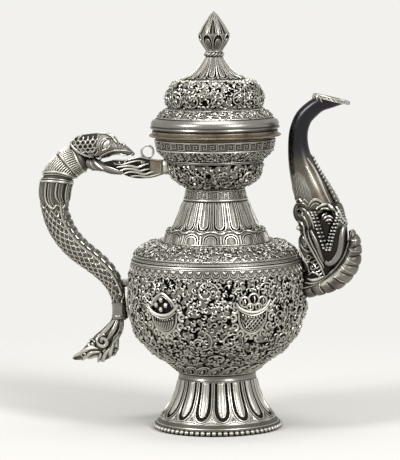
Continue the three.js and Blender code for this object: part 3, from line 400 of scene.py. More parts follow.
for k in range(FOOT_PETALS):
    middle = tau * (k + 0.5) / FOOT_PETALS
    edge = tau * k / FOOT_PETALS
    lines.append([(foot_wall.at(middle, top - 2 - s * 14, 0.9), 0.5 - 0.3 * s) for s in (0, 0.5, 1)])
    for size, width in ((1, 0.42), (0.42, 0.5)):
        lines.append([(foot_wall.at(edge + 0.075 * size * x, bottom + 1.6 + size * up, 0.3), width)
                      for x, up in ((-1, -1.6), (-0.5, 0.6), (0, 3.4), (0.5, 0.6), (1, -1.6))])
waved = [tau * k / 192 for k in range(193)]
lines.append([(foot_wall.at(turn, bottom + 0.2 - cos(FOOT_PETALS * turn + pi), 0.25), 0.42)
              for turn in waved])
lines.append([(foot_wall.at(turn, 1.6), 0.45) for turn in waved])
strokes("foot_petal_lines", lines)


# Foot collar: a plain drawn band that hides the joint between the foot and the belly. It is polished and
# left bare.
low, high = heights("foot_collar")
COLLAR_RADIUS = 30.8
waist = (low + high) / 2
deliver(spun(inset(COLLAR_RADIUS, (3, low), (0.5, low), (0, low + 0.5), (0.7, waist), (0, high - 0.5),
                                  (0.5, high), (3, high))),
        "foot_collar_band", smooth_silver, ["foot_collar"])


# Belly: a vessel inside a jacket that is pierced all over with a running vine. The saw left the stems and
# leaves standing, the chaser rounded them, and the black of the vessel shows through the gaps.
def spiral(x, z, size, turns, start, hand=1, count=14, inner=0.12):
    """A curl in the plane: it starts at the angle `start` and winds in to its eye."""
    curl = []
    for k in range(count):
        far = size * (1 - (1 - inner) * k / (count - 1))
        angle = start + hand * tau * turns * k / (count - 1)
        curl.append((x + far * cos(angle), z + far * sin(angle)))
    return curl


def leaf(angle, size, width, rng):
    """One leaf about a point, as [across, above] places with widths: a comma that curls back on itself,
    and often a second lobe on its outside."""
    hand = rng.choice((-1, 1))
    points = spiral(0, 0, size, rng.uniform(0.6, 0.95), angle, hand, 8, 0.2)
    made = [list(zip(points, [width * w for w in (0.35, 0.65, 0.9, 1.1, 1.3, 1.45, 1.5, 1.35)]))]
    if rng.random() < 0.5:
        away = angle + hand * rng.uniform(1.4, 2.4)
        made.append([((size * s * cos(away + hand * 0.5 * (s - 1)),
                       size * s * sin(away + hand * 0.5 * (s - 1))),
                      width * w) for s, w in ((0.95, 0.8), (1.25, 1.3), (1.55, 0.35))])
    return made


def vine(wall, low, high, rows, pitch, size, width, seed, clear=lambda turn, up, room: False,
         rise=1.3, leafy=1.95):
    """A vine on a wall between two distances up it. Its stem winds in on itself in big rounds that swell
    towards their middles, and curled leaves of one size crowd all that is left between the stems."""
    rng = random.Random(seed)
    step = (high - low) / rows
    lines = []
    rounds = []
    taken = {}

    def spot(turn, up, lift):
        up = min(max(up, low), high)
        radius = wall.ring(up)[0]
        dome = max(0, *(1 - (hypot(((turn - t + pi) % tau - pi) * radius, up - u) / size) ** 2
                        for t, u in rounds))
        return wall.at(turn, up, lift + rise * dome)

    def cell(place):
        return tuple(int(c // (2 * leafy * MM)) for c in place)

    def take(place, room):
        taken.setdefault(cell(place), []).append((place, room))

    def free(place, room):
        x, y, z = cell(place)
        return all((place - other).length > (room + its_room) * MM
                   for i in (-1, 0, 1) for j in (-1, 0, 1) for k in (-1, 0, 1)
                   for other, its_room in taken.get((x + i, y + j, z + k), ()))

    for row in range(rows):
        base = low + (row + 0.5) * step
        count = round(tau * wall.ring(base)[0] / pitch)
        rounds += [(turn, base) for turn in (tau * (k + 0.5 * (row % 2)) / count for k in range(count))
                   if not clear(turn, base, 1.14)]
    for number, (turn, base) in enumerate(rounds):
        radius = wall.ring(base)[0]
        hand = 1 if number % 2 else -1
        start = rng.uniform(0, tau)
        turns = rng.uniform(1.2, 1.45)
        stem = []
        for n in range(25):
            share = n / 24
            far = size * (1.06 - 0.9 * share)
            angle = hand * (start + tau * turns * share)
            here = turn + far * cos(angle) / radius, base + far * sin(angle)
            stem.append((spot(*here, 0.2), width * (0.8 + 0.25 * sin(pi * share))))
            take(wall.at(*here), -0.3 * leafy)
        lines.append(stem)
        lines.append([(spot(turn + n / radius, base, 0.55), width * 2) for n in (-0.4, 0.4)])
    grid = leafy * 0.5
    tries = []
    for level in range(int((high - low) / grid) + 1):
        up = low + level * grid
        count = int(tau * wall.ring(up)[0] / grid)
        tries += [(tau * (k + rng.random()) / count, up + rng.uniform(-0.5, 0.5) * grid)
                  for k in range(count)]
    rng.shuffle(tries)
    for turn, up in tries:
        place = wall.at(turn, up)
        if not low <= up <= high or clear(turn, up, 1) or not free(place, leafy):
            continue
        take(place, leafy)
        radius = wall.ring(up)[0]
        lift = rng.uniform(0.2, 0.8)
        for made in leaf(rng.uniform(0, tau), leafy * 1.26, width, rng):
            lines.append([(spot(turn + x / radius, up + z, lift), w) for (x, z), w in made])
    return lines


def ringed(wall, *rows, steps=150):
    """Plain raised lines round a wall. A row is the distance up it and the half width."""
    return [[(wall.at(tau * k / steps, up, 0.2), width) for k in range(steps + 1)] for up, width in rows]


low, high = heights("belly_jacket")
BELLY_LINE = [(31, low), (31.2, low + 0.4), *smooth_line([
    (33.4, low + 2.9), (41.2, low + 9.2), (48.8, low + 15.4), (56.2, low + 21.8), (63.4, low + 31),
    (67.5, low + 41.8), (69.4, low + 51), (69.7, low + 58), (69.3, low + 68), (68.2, low + 76.6),
    (66.1, high)])]
belly_wall = Wall(BELLY_LINE)
RIM_BAND = 9
belly = spun(shell(BELLY_LINE, 0.9), steps=192)
band_foot = belly_wall.ring(belly_wall.length - RIM_BAND)[1]
coated(belly, 1, lambda x, z: z > band_foot)
deliver(belly, "belly_ground", pierced_sheet, ["belly_jacket"], more=(chased_ground,))
MEDALLIONS = [radians(a) for a in (-119, -61, 61, 119)]
MEDALLION_UP = belly_wall.up_to(low + 51)
MEDALLION_WIDE = 21
LEAF_RADIUS = 69
BOWL_RADIUS = 69.4
MEDALLION_TALL = 20
KEPT_CLEAR = [(middle, MEDALLION_UP - 1.4, MEDALLION_WIDE, MEDALLION_TALL) for middle in MEDALLIONS]
KEPT_CLEAR += [(side, belly_wall.up_to(low + 66), 13, 13) for side in (0, pi)]


def in_medallion(turn, up, room):
    """Whether a leaf would run into one of the four bowls of offerings, the spout or the peg, with some
    room."""
    return any(hypot(((turn - middle + pi) % tau - pi) * LEAF_RADIUS / wide, (up - level) / tall) < room
               for middle, level, wide, tall in KEPT_CLEAR)


VINE_WIDTH = 0.66
vine_low = 15
vine_high = belly_wall.length - RIM_BAND - 0.6
whole_vine = vine(belly_wall, vine_low, vine_high, rows=4, pitch=24, size=9.6, width=VINE_WIDTH, seed=11,
                  clear=in_medallion)
half_way = belly_wall.at(0, (vine_low + vine_high) / 2).z
for name, part in (("lower", [line for line in whole_vine if line[0][0].z < half_way]),
                   ("upper", [line for line in whole_vine if line[0][0].z >= half_way])):
    strokes("belly_vine_" + name, part)


def next_ring(bm, edges):
    """A ring of new corners pulled off the open edges of a skin, and the edges between them."""
    made = bmesh.ops.extrude_edge_only(bm, edges=edges)["geom"]
    ring = [part for part in made if isinstance(part, bmesh.types.BMVert)]
    fresh = set(ring)
    return ring, [part for part in made
                  if isinstance(part, bmesh.types.BMEdge) and fresh.issuperset(part.verts)]


def cushion(wall, turn, up, outline, height, name, material):
    """A low swelling of the sheet inside an outline of [across, above] points in mm about a place on a
    wall."""
    def reach(angle):
        for a, b in zip(outline, [*outline[1:], outline[0]]):
            way = (cos(angle), sin(angle))
            across = (b[0] - a[0], b[1] - a[1])
            turned = way[0] * across[1] - way[1] * across[0]
            if abs(turned) < 1e-9:
                continue
            far = (a[0] * across[1] - a[1] * across[0]) / turned
            share = (a[0] * way[1] - a[1] * way[0]) / turned
            if far > 0 and -1e-6 <= share <= 1 + 1e-6:
                return far
        return 0.5

    bm = bmesh.new()
    bmesh.ops.create_circle(bm, segments=40, radius=1)
    edges = list(bm.edges)
    for share in (0.96, 0.86, 0.7, 0.5, 0.25, 0.08):
        ring, edges = next_ring(bm, edges)
        for vert in ring:
            vert.co = vert.co.normalized() * share
    bmesh.ops.contextual_create(bm, geom=edges)
    radius = wall.ring(up)[0]
    for vert in bm.verts:
        share = hypot(vert.co.x, vert.co.y)
        angle = atan2(vert.co.y, vert.co.x)
        far = reach(angle) * share
        lift = height * (1 - share ** 3) - (0.5 if share > 0.99 else 0)
        vert.co = wall.at(turn + far * cos(angle) / radius, up + far * sin(angle), lift)
    bmesh.ops.contextual_create(bm, geom=[e for e in bm.edges if e.is_boundary])
    bmesh.ops.recalc_face_normals(bm, faces=bm.faces)
    deliver(bm, name, material)


BOWL_SIDE = [(-11.1, -1), (-9.7, -6), (-6.3, -10.8), (0, -13.2), (6.3, -10.8), (9.7, -6), (11.1, -1)]
GEMS_HEAP = [(-9.4, 5), (-4, 1.5), (0, 0.6), (4, 1.6), (8.8, 5), (7.4, 10), (2.4, 14.6), (-1, 16),
             (-5.4, 13.6), (-9, 9.6)]
FRUIT_HEAP = [(-9.6, 5), (-4, 1), (0, 0.4), (4, 1), (9.6, 4.6), (10.4, 9.6), (7.4, 13.6), (0.6, 16.4),
              (-6.4, 14.2), (-10.6, 9.6)]
CURLS = 12
CURLS_START = -232
CURLS_SWEEP = 284
for number, middle in enumerate(MEDALLIONS):
    fruit = number in (1, 3)
    tag = f"offering_bowl_{number + 1}"
    raised = 2.6 if fruit else 0

    def higher(*points):
        """Places moved up as far as this bowl's brim is raised."""
        return [(across, above + raised) for across, above in points]

    oval = []
    for k in range(40):
        angle = tau * k / 40
        lobe = 1 + 0.05 * cos(9 * tau * k / 40)
        oval.append((19 * cos(angle) * lobe, (16.6 if k < 20 else 19) * sin(angle) * lobe))
    cushion(belly_wall, middle, MEDALLION_UP, oval, 0.5, tag + "_ground", black_ground_and_shade)
    bowl = [*BOWL_SIDE, *higher((11.4, 4), (6, 1), (0, -0.2), (-6, 1), (-11.4, 4))]
    cushion(belly_wall, middle, MEDALLION_UP, bowl, 3.2, tag, blackened_silver)
    heap = higher(*(FRUIT_HEAP if fruit else GEMS_HEAP))
    heap_silver = chased_silver if fruit else blackened_silver
    cushion(belly_wall, middle, MEDALLION_UP, heap, 2.4, tag + "_heap", heap_silver)
    hand = 1 if middle < 0 else -1

    def spot(across, above, lift):
        """A place on the medallion, in mm from its middle. The far pair are the near pair's mirror
        images."""
        return belly_wall.at(middle + hand * across / BOWL_RADIUS, MEDALLION_UP + above, lift)

    def drawn(points, width, lift):
        """A line of one width through places on the medallion."""
        return [(spot(across, above, lift), width) for across, above in points]

    lines = []
    for points, width, lift in (
            (higher((-13, 8.6), (-12.4, 6.4), (-9.6, 3.8), (-5, 1.8), (0, 1.2), (5, 2), (9.2, 4.4),
                    (12.2, 8), (13.6, 9.6)), 1.35, 3.4),
            (higher((-11.8, 3.4), (-7.8, 1.0), (-3, -0.8), (2, -0.9), (7, 0.8), (11.4, 4)), 0.7, 3.3),
            ([*higher((-11.4, 3.6)), *BOWL_SIDE, *higher((11.4, 3.6))], 1.1, 1.7),
            ([(across * 0.84, above * 0.84) for across, above in BOWL_SIDE], 0.45, 2.5),
            (spiral(13, 7 + raised, 2.5, 1.15, 1.4, -1, 12), 0.95, 2.4),
            (spiral(-13, 6.6 + raised, 2.4, 1.15, 1.8, 1, 12), 0.95, 2.2)):
        walked = smooth_line(points, 3)
        lines.append([(spot(across, above, lift), width * (0.6 + 0.4 * sin(pi * k / (len(walked) - 1))))
                      for k, (across, above) in enumerate(walked)])
    for k in range(-4, 5):
        stud = higher(*[(2.15 * k + side, -2.4 + 0.11 * k * k) for side in (-0.3, 0.3)])
        lines.append(drawn(stud, 0.6, 3.4))
    if fruit:
        for across, above, size in ((-7, 11.4, 4.2), (0.2, 13.4, 4.6), (7.4, 11.6, 3.9), (-3, 7.6, 2.7),
                                    (4, 7.6, 2.7)):
            peel = [(across + size * cos(tau * k / 14) * 0.9, above + size * sin(tau * k / 14) * 0.9)
                    for k in range(15)]
            lines.append(drawn(peel, 0.75, 2.8))
            lines.append(drawn([(across + side, above) for side in (-0.3, 0, 0.3)], size * 0.62, 2.3))
        for k in range(-3, 4):
            for lean in (-1, 1):
                crossing = [(k * 3.1 + lean * s * 5.4, -4.6 + s * 6.6, s)
                            for s in (-0.95, -0.45, 0, 0.4, 0.8)]
                lines.append([(spot(across, above, 3.5 - 1.3 * s * s), 0.42)
                              for across, above, s in crossing if abs(across) < 9 + 5 * min(0, s)])
    else:
        for reach, width in ((0, 1.1), (2.2, 0.5)):
            arch = [(-10.6 + reach, 7.6), (-9.6 + reach, 11), (-6.2 + reach * 0.8, 14.4 - reach * 0.4),
                    (-1, 17.4 - reach), (4.4 - reach * 0.6, 14.4 - reach * 0.4), (8.4 - reach, 11),
                    (10 - reach, 7.6)]
            lines.append(drawn(smooth_line(arch, 3), width, 2.2))
        for across, above in ((-0.9, 12.6), (-5, 8.6), (3.2, 8.8), (-0.9, 5.4)):
            lines.append([(spot(across + side, above, lift), width)
                          for side, lift, width in ((-1, 3.1, 1.6), (0, 3.6, 2.3), (1, 3.1, 1.6))])
        for k in range(-5, 6):
            edge = sqrt(max(0, 1 - (k / 6.2) ** 2))
            lines.append([(spot(k * 1.75, -4 + 0.07 * k * k, 3.4), 0.46),
                          (spot(k * 1.6, -7.2 * edge - 1, 3.2), 0.5),
                          (spot(k * 1.3, -11.2 * edge, 2.3), 0.36)])
    lines = [line for line in lines if len(line) > 1]
    for k in range(CURLS):
        angle = radians(CURLS_START + CURLS_SWEEP * k / (CURLS - 1))
        wave = 15.8 * cos(angle), (14.4 if sin(angle) > 0 else 16.6) * sin(angle)
        turned = -1 if cos(angle) > 0 else 1
        curl = spiral(*wave, 3.3, 1.2, angle + turned * 1.3, turned, 14)
        lines.append([(spot(*place, 1.6), 1.25 - 0.045 * n) for n, place in enumerate(curl)])
        lines.append([(spot(wave[0] * s, wave[1] * s, 1.0), width)
                      for s, width in ((1.1, 0.6), (1.2, 1.1), (1.3, 0.3))])
    strokes(tag + "_lines", lines)

SCALLOPS = 62
rim_up = belly_wall.length
lines = petal_lines(belly_wall, SCALLOPS, ((0.5, (0.049, rim_up - 5.4, rim_up - 9.4, 0.7, 7), 0.62),
                                           (0.5, (0.03, rim_up - 5.4, rim_up - 7.6, 0.7, 7), 0.5)))
for k in range(SCALLOPS):
    middle = tau * (k + 0.5) / SCALLOPS
    for lean in (-0.024, 0, 0.024):
        lines.append([(belly_wall.at(middle + lean * s, rim_up - 5.6 + 2.4 * s, 0.25),
                       0.3 + 0.5 * sin(pi * s)) for s in (0, 0.5, 1)])
lines += ringed(belly_wall, (rim_up - 1, 0.7), (rim_up - 2.4, 0.4))
LAPPETS = 22
foot_of_belly = belly_wall.up_to(low + 1)
for k in range(LAPPETS):
    middle = tau * (k + 0.5) / LAPPETS
    for half, rise, width in ((0.134, 11.4, 0.75), (0.084, 8.6, 0.6)):
        lines.append([(belly_wall.at(turn + 0.014 * (up - foot_of_belly), up, 0.4), width)
                      for turn, up in tongue(middle, half, foot_of_belly, foot_of_belly + rise, 0.55, 8)])
    lines.append([(belly_wall.at(middle + 0.09 * s, foot_of_belly + 1 + s * 5.5, 0.35),
                   0.4 + 0.9 * sin(pi * s)) for s in (0, 0.3, 0.6, 0.9)])
lines += ringed(belly_wall, (foot_of_belly, 0.7))
strokes("belly_borders", lines)


# Shoulder: a chased plate that closes the jacket, edged by a double line. Its scrolls aren't pierced, so
# the ground between them is only darkened.
low, high = heights("shoulder_ring")
RING_RADIUS = 66.2
waist = (low + high) / 2
deliver(spun(inset(RING_RADIUS, (6, low), (0.6, low), (0, low + 0.45), (0.1, low + 0.85), (0.7, waist),
                                (0.5, high - 0.8), (0.8, high - 0.3), (1.4, high), (6, high))),
        "shoulder_double_ring", chased_silver, ["shoulder_ring"])
low, high = heights("shoulder_plate")
PLATE_LINE = [(65.2, low), (65.2, low + 0.3), *smooth_line([
    (63, low + 3.2), (60.6, low + 5.2), (57.4, low + 7.2), (52, low + 9.4), (46, low + 10.3),
    (39.2, high)])]
plate_wall = Wall(PLATE_LINE)
deliver(spun(shell(PLATE_LINE, 1.2), steps=192), "shoulder_ground", chased_ground, ["shoulder_plate"])
lines = vine(plate_wall, 1.6, plate_wall.length - 6.5, rows=1, pitch=24, size=8.8, width=0.5, seed=23,
             rise=0.9, leafy=1.5)
lines += ringed(plate_wall, (1.0, 0.55), (plate_wall.length - 6, 0.5))
strokes("shoulder_scrolls", lines, 2)


# Neck: raised in one piece, with a skirt of short petals under a ledge and long flutes above it. Each
# flute is a hollow between two ridges and ends in a round tongue that hangs over the petals.
low, high = heights("neck_cone")
NECK_LEDGE = low + 9.8
NECK_LINE = [*smooth_line([(41.6, low), (41.5, low + 1.2), (40.2, low + 4.4), (38.7, low + 8)], 5),
             (38.1, NECK_LEDGE - 0.6), (37.4, NECK_LEDGE), (35.4, NECK_LEDGE + 0.3), *smooth_line([
                 (33.9, NECK_LEDGE + 1.4), (32, NECK_LEDGE + 5), (30.1, NECK_LEDGE + 9.6),
                 (28.2, NECK_LEDGE + 14.4), (26.5, NECK_LEDGE + 19.4), (24.5, high)], 8)]
neck_wall = Wall(NECK_LINE)
NECK_FLUTES = 16
ledge_up = neck_wall.up_to(NECK_LEDGE + 0.5)
NECK_EDGE = (0.154, neck_wall.length - 1, ledge_up - 0.4, 0.24)
NECK_CORE = (0.1, neck_wall.length - 1, ledge_up + 2.2, 0.24)
WINDOW_EDGE = (0.142, 0.6, 9.2, 0.5)
WINDOW_CORE = (0.1, 0.6, 7.4, 0.5)
neck = spun(shell(NECK_LINE, 1.2), steps=320)
embossed(neck, neck_wall, [(NECK_FLUTES, pi / NECK_FLUTES, NECK_EDGE, NECK_CORE),
                           (NECK_FLUTES, 0, WINDOW_EDGE, WINDOW_CORE)], rise=0.8, sink=0.7)
deliver(neck, "neck_fluted", chased_ground, ["neck_cone"], more=(black_ground_and_shade,))
lines = petal_lines(neck_wall, NECK_FLUTES, ((0.5, NECK_CORE, 0.5), (0.5, NECK_EDGE, 0.45),
                                             (0, WINDOW_EDGE, 0.5), (0, WINDOW_CORE, 0.55)), 0.35)
for k in range(NECK_FLUTES):
    middle = tau * (k + 0.5) / NECK_FLUTES
    edge = tau * k / NECK_FLUTES
    lines.append([(neck_wall.at(middle, ledge_up + 4 + s * 20, 0.75), 0.5 - 0.25 * s) for s in (0, 0.5, 1)])
    lines.append([(neck_wall.at(edge, ledge_up - 1.6 + s * 9, 0.3), 0.65 - 0.4 * s)
                  for s in (0, 0.25, 0.6, 1)])
    lines.append([(neck_wall.at(middle, 1 + s * 7, 0.3), 0.85 - 0.2 * s) for s in (0, 0.5, 1)])
lines.append([(neck_wall.at(turn, ledge_up - 2.4 + 1.3 * cos(NECK_FLUTES * turn), 0.5), 0.75)
              for turn in waved])
lines += ringed(neck_wall, (0.5, 0.6))
strokes("neck_petal_lines", lines)


# Neck band: a drawn silver strip, bent round the neck's upper edge and soldered there. A running key
# pattern is chased between its two wires.
def key_pattern(wall, low, high, count, width):
    """A running key pattern between two distances up a wall, in square turns."""
    rise = high - low
    path = ((0, 0), (0, 1), (0.78, 1), (0.78, 0.28), (0.36, 0.28), (0.36, 0.62), (0.56, 0.62))
    lines = []
    for k in range(count):
        for hand, shift in ((1, 0.0), (-1, 0.94)):
            lines.append([(wall.at(tau * (k + 0.04 + shift * 0.98 + hand * x * 0.44) / count,
                                   low + (y if hand > 0 else 1 - y) * rise, 0.3), width) for x, y in path])
    return lines


low, high = heights("neck_band")
BAND_LINE = [(24.5, low), (24.6, low + 1), (24.2, low + 1.6), (23.2, low + 6), (22.6, high - 0.6),
             (22.2, high)]
band_wall = Wall(BAND_LINE)
deliver(spun([*BAND_LINE, (18.6, high), (18.6, high - 1.2), (21.4, high - 1.2), (23, low)], steps=96),
        "neck_band_ground", chased_ground, ["neck_band"])
lines = key_pattern(band_wall, 2.2, 7.6, count=18, width=0.42)
lines += ringed(band_wall, (0.9, 0.75), (8.7, 0.55), steps=90)
strokes("neck_band_keys", lines)


# Mouth: a pierced cup over its own plain liner, a double wire, a chased taper, and a band of keys. A cast
# ring with a flange is soldered on top, turned smooth, and browned by tea and by the hands that lift the
# lid.
low, high = heights("cup_bowl")
CUP_LINE = smooth_line([(22.2, low), (26.4, low + 2.2), (29.6, low + 4.4), (33.4, low + 8),
                        (35.4, low + 12), (36.8, low + 16), (37.3, high)])
cup_wall = Wall(CUP_LINE)
deliver(spun(shell(CUP_LINE, 0.9), steps=144), "cup_ground", pierced_sheet, ["cup_bowl"])
lines = vine(cup_wall, 1.4, cup_wall.length - 1.2, rows=1, pitch=20, size=8.2, width=0.6, seed=31, rise=0.6,
             leafy=1.8)
lines += ringed(cup_wall, (0.6, 0.55))
strokes("cup_vine", lines, 2)
low, high = heights("cup_bead")
deliver(spun([(36.7, low), (37.5, low), (38.2, low + 0.25), (38.3, low + 0.6), (37.6, low + 1.0),
              (38.4, low + 1.4), (38.3, low + 1.8), (37.6, high), (36.7, high)]),
        "cup_double_wire", chased_silver, ["cup_bead"])
low, high = heights("fret_band")
TAPER = 7.8
FRET_LINE = [(37.5, low), (37.6, low + 0.3),
             *smooth_line([(39.4, low + 1.6), (42.6, low + 4.6), (45.1, low + 7)], 4),
             (45.5, low + TAPER), (45.8, low + TAPER + 0.6), (46.9, high - 0.6), (47, high)]
fret_wall = Wall(FRET_LINE)
deliver(spun(shell(FRET_LINE, 0.9), steps=144), "fret_ground", blackened_silver, ["fret_band"])
fret_low = fret_wall.up_to(low + TAPER + 0.9)
lines = vine(fret_wall, 1, fret_low - 1.4, rows=1, pitch=9, size=3.2, width=0.42, seed=37, rise=0.2,
             leafy=1.3)
lines += key_pattern(fret_wall, fret_low + 0.9, fret_wall.length - 1.1, count=22, width=0.46)
lines += ringed(fret_wall, (fret_low - 0.8, 0.6), (fret_wall.length - 0.4, 0.5))
strokes("fret_keys", lines)
low, high = heights("mouth_ring")
FLANGE_RADIUS = 51.7
rubbed_silver = darkened_silver("cast ring, browned by tea", "#a39886", "#1a1613", "#5f4c33", 0.22,
                                reach_mm=3.4, punch_mm=1.4, depth_mm=0.05, patina=0.9)
deliver(spun([
    (43, low), (46.6, low), (46.8, low + 1.2), (47.6, low + 1.9), (FLANGE_RADIUS - 0.6, low + 2.2),
    (FLANGE_RADIUS, low + 2.6), (FLANGE_RADIUS, low + 3.3), (FLANGE_RADIUS - 0.5, low + 3.8),
    (49.6, low + 4.1), (49.2, low + 4.6), (49.4, high - 1.3), (49.2, high - 0.7), (48.4, high - 0.4),
    (48.2, high), (43, high),
]), "mouth_ring_cast", rubbed_silver, ["mouth_ring"])


# Spout: a horn that rises out of the open mouth of a sea monster. Throat, head and horn are beaten from
# sheet in two halves and soldered, then filled with pitch and chased. Tea runs up inside all three.
class Limb:
    """A bent, tapering bar in the plane of spout and handle, walked by the distance along it in mm. A
    station is x from the pot's axis, z, the half width in that plane and the half width across it."""

    def __init__(self, stations, steps=6):
        self.steps = steps
        self.line = smooth_line(stations, steps)
        self.run = [0.0]
        for a, b in zip(self.line, self.line[1:]):
            self.run.append(self.run[-1] + hypot(b[0] - a[0], b[1] - a[1]))
        self.length = self.run[-1]

    def to_station(self, number):
        """The distance along the bar at a station's number, which may lie between two."""
        i = min(int(number * self.steps), len(self.line) - 2)
        return self.run[i] + (number * self.steps - i) * (self.run[i + 1] - self.run[i])

    def station(self, along):
        """The station at a distance along the bar, and the direction there in (x, z)."""
        last = len(self.line) - 1
        i = min(max(bisect_right(self.run, along) - 1, 0), last - 1)
        a, b = self.line[i], self.line[i + 1]
        share = (along - self.run[i]) / max(self.run[i + 1] - self.run[i], 1e-9)
        start, end = self.line[max(i - 1, 0)], self.line[min(i + 2, last)]
        way = Vector((b[0] - start[0], b[1] - start[1])).normalized()
        way = way.lerp(Vector((end[0] - a[0], end[1] - a[1])).normalized(),
                       min(max(share, 0), 1)).normalized()
        return [p + (q - p) * share for p, q in zip(a, b)], way

    def at(self, along, around, lift=0.0):
        """A point in metres. around is 0 on the side away from the pot and a quarter turn on the near
        side."""
        (x, z, deep, wide), way = self.station(along)
        out = (deep + lift) * cos(around)
        return Vector((AXIS_X + (x + way.y * out) * MM, -(wide + lift) * sin(around) * MM,
                       (z - way.x * out) * MM))

    def frame(self, along, shrink=1.0, shift=0.0):
        """The place, turn and size of the bar's ring at a distance along it."""
        (x, z, deep, wide), way = self.station(along)
        x, z = x + way.x * shift, z + way.y * shift
        rows = ((way.y * deep * shrink, 0, way.x, x), (0, -wide * shrink, 0, 0),
                (-way.x * deep * shrink, 0, way.y, z), (0, 0, 0, 1 / MM))
        return Matrix.Translation((AXIS_X, 0, 0)) @ (Matrix(rows) * MM)

    def skin(self, segments=36, pitch=1.2, relief=None, ends=0.45):
        """The bar as a closed skin with rounded ends. relief gives the mm that a point stands proud."""
        walks, frames = [], []
        count = ceil(self.length / pitch)
        for share in (0.98, 0.85, 0.6, 0.3):
            walks.append(0)
            frames.append(self.frame(0, sqrt(1 - share ** 2), -share * ends * self.line[0][2]))
        for k in range(count + 1):
            walks.append(self.length * k / count)
            frames.append(self.frame(walks[-1]))
        for share in (0.3, 0.6, 0.85, 0.98):
            walks.append(self.length)
            frames.append(self.frame(self.length, sqrt(1 - share ** 2), share * ends * self.line[-1][2]))
        bm, rings = lofted(frames, segments)
        if relief:
            for ring, frame_here, along in zip(rings, frames, walks):
                back = frame_here.inverted()
                for vert in ring:
                    local = back @ vert.co
                    centre = frame_here @ Vector((0, 0, local.z))
                    mm = relief(along, atan2(local.y, local.x), (vert.co.x - AXIS_X) / MM, vert.co.z / MM)
                    vert.co += (vert.co - centre).normalized() * mm * MM
        return bm


def lofted(frames, segments, closed=False):
    """A skin through rings: a circle is set in the first frame and pushed on from each frame to the
    next."""
    bm = bmesh.new()
    ring = bmesh.ops.create_circle(bm, cap_ends=not closed, segments=segments, radius=1,
                                   matrix=frames[0])["verts"]
    first = edges = list(bm.edges)
    rings = [ring]
    for before, after in zip(frames, frames[1:]):
        ring, edges = next_ring(bm, edges)
        bmesh.ops.transform(bm, matrix=after @ before.inverted(), verts=ring)
        rings.append(ring)
    if closed:
        bmesh.ops.bridge_loops(bm, edges=[*first, *edges])
    else:
        bmesh.ops.contextual_create(bm, geom=edges)
    bmesh.ops.recalc_face_normals(bm, faces=bm.faces)
    return bm, rings


class Drape:
    """Lays lines that are drawn in the pot's side view, in mm, over the skins that stand nearest on that
    side."""

    def __init__(self, *skins):
        self.trees = [BVHTree.FromBMesh(skin) for skin in skins]

    def on(self, side, x, z, lift=0.0):
        start = Vector((AXIS_X + x * MM, side * 0.08, z * MM))
        found = [tree.ray_cast(start, Vector((0, -side, 0)), 0.08) for tree in self.trees]
        found = [hit for hit in found if hit[0] is not None]
        if found:
            place, normal = max(found, key=lambda hit: hit[0].y * side)[:2]
        else:
            start.y = side * 0.002
            found = [tree.find_nearest(start) for tree in self.trees]
            place, normal = min(found, key=lambda hit: (hit[0] - start).length)[:2]
        return place + (normal + Vector((0, side * 0.3, 0))).normalized() * lift * MM

    def line(self, points, width, lift=0.3, ends=0.35, steps=4):
        """A raised line on both sides of the pot, thinner at its ends, ready for strokes()."""
        walked = smooth_line(points, steps)
        last = len(walked) - 1
        return [[(self.on(side, x, z, lift), width * (ends + (1 - ends) * sin(pi * k / last)))
                 for k, (x, z) in enumerate(walked)] for side in (-1, 1)]

    def lines(self, *rows):
        """All the lines of a table. A row is the points, the half width and the lift."""
        return [line for row in rows for line in self.line(*row)]

    def studs(self, bm, points, size, count, lift=0.2, tall=1.0):
        """Round beads along a drawn line, on both sides."""
        walked = smooth_line(points, 6)
        for side in (-1, 1):
            for k in range(count):
                place = k / max(count - 1, 1) * (len(walked) - 1)
                i = min(int(place), len(walked) - 2)
                x, z = (a + (b - a) * (place - i) for a, b in zip(walked[i], walked[i + 1]))
                bmesh.ops.create_icosphere(bm, subdivisions=1, radius=size * MM,
                                           matrix=Matrix.Translation(self.on(side, x, z, lift))
                                           @ Matrix.Diagonal((1, 1, tall, 1)))


stippled_silver = darkened_silver("plates stippled with a round punch", "#908b82", "#0f0e0d",
                                  "#3f3b35", 0.34, reach_mm=3.2, punch_mm=1.1, depth_mm=0.5, patina=0.8)
# Between 196 and 226 mm up the horn turns near-black: partly its dark oxide and partly a painted dark
# reflection. The mottled brown below is the horn's own tarnish.
horn_silver = darkened_silver("raised horn, brown below and black above", "#8b867a", "#0c0c0e",
                              "#4a4133", 0.14, reach_mm=3.0, punch_mm=1.6, depth_mm=0.06, patina=0.9,
                              above=("#3a393d", 196, 226))
throat = Limb([(60, 110.2, 7.6, 7.6), (66.5, 111.4, 7.6, 7.8), (74, 116.2, 8.2, 8.6),
               (81, 125, 9.8, 10.2), (85.2, 137.5, 11.8, 11.6), (85.6, 150.5, 13.4, 12.6),
               (83.2, 163.2, 14.5, 13.2)]).skin()
HORN_STATIONS = [
    (83.2, 163.2, 14.5, 13.2), (79.2, 175.4, 14.3, 12.8), (74.9, 186.1, 13.2, 11.8),
    (70.4, 197.9, 11.5, 10.6), (67.1, 209.7, 9.7, 9.2), (65.3, 221.5, 8.1, 7.9), (65.7, 233.3, 7.3, 7.2),
    (69.4, 243.6, 6.9, 6.8), (75.6, 250.2, 6.6, 6.6), (82.2, 254.8, 6.2, 6.6), (90.5, 257.6, 6.2, 6.7),
    (99, 260.3, 6, 6.6), (107, 262.8, 6, 6.4)]
HORN_WALL = 1.2
BORE_FOOT = 0.19
LIP_OVERLAP = 0.0004
LIP_MIDDLE = (91.2, 257.1)
LIP_TILT = -0.24
lip_rise = Vector((-sin(LIP_TILT), 0, cos(LIP_TILT)))
lip_centre = Vector((AXIS_X + LIP_MIDDLE[0] * MM, 0, LIP_MIDDLE[1] * MM))
horn_limb = Limb(HORN_STATIONS)
HORN_ROOT = (80.3, 172.2, 14.2, 12.6)
horn = Limb([HORN_ROOT, *HORN_STATIONS[2:]]).skin(40)
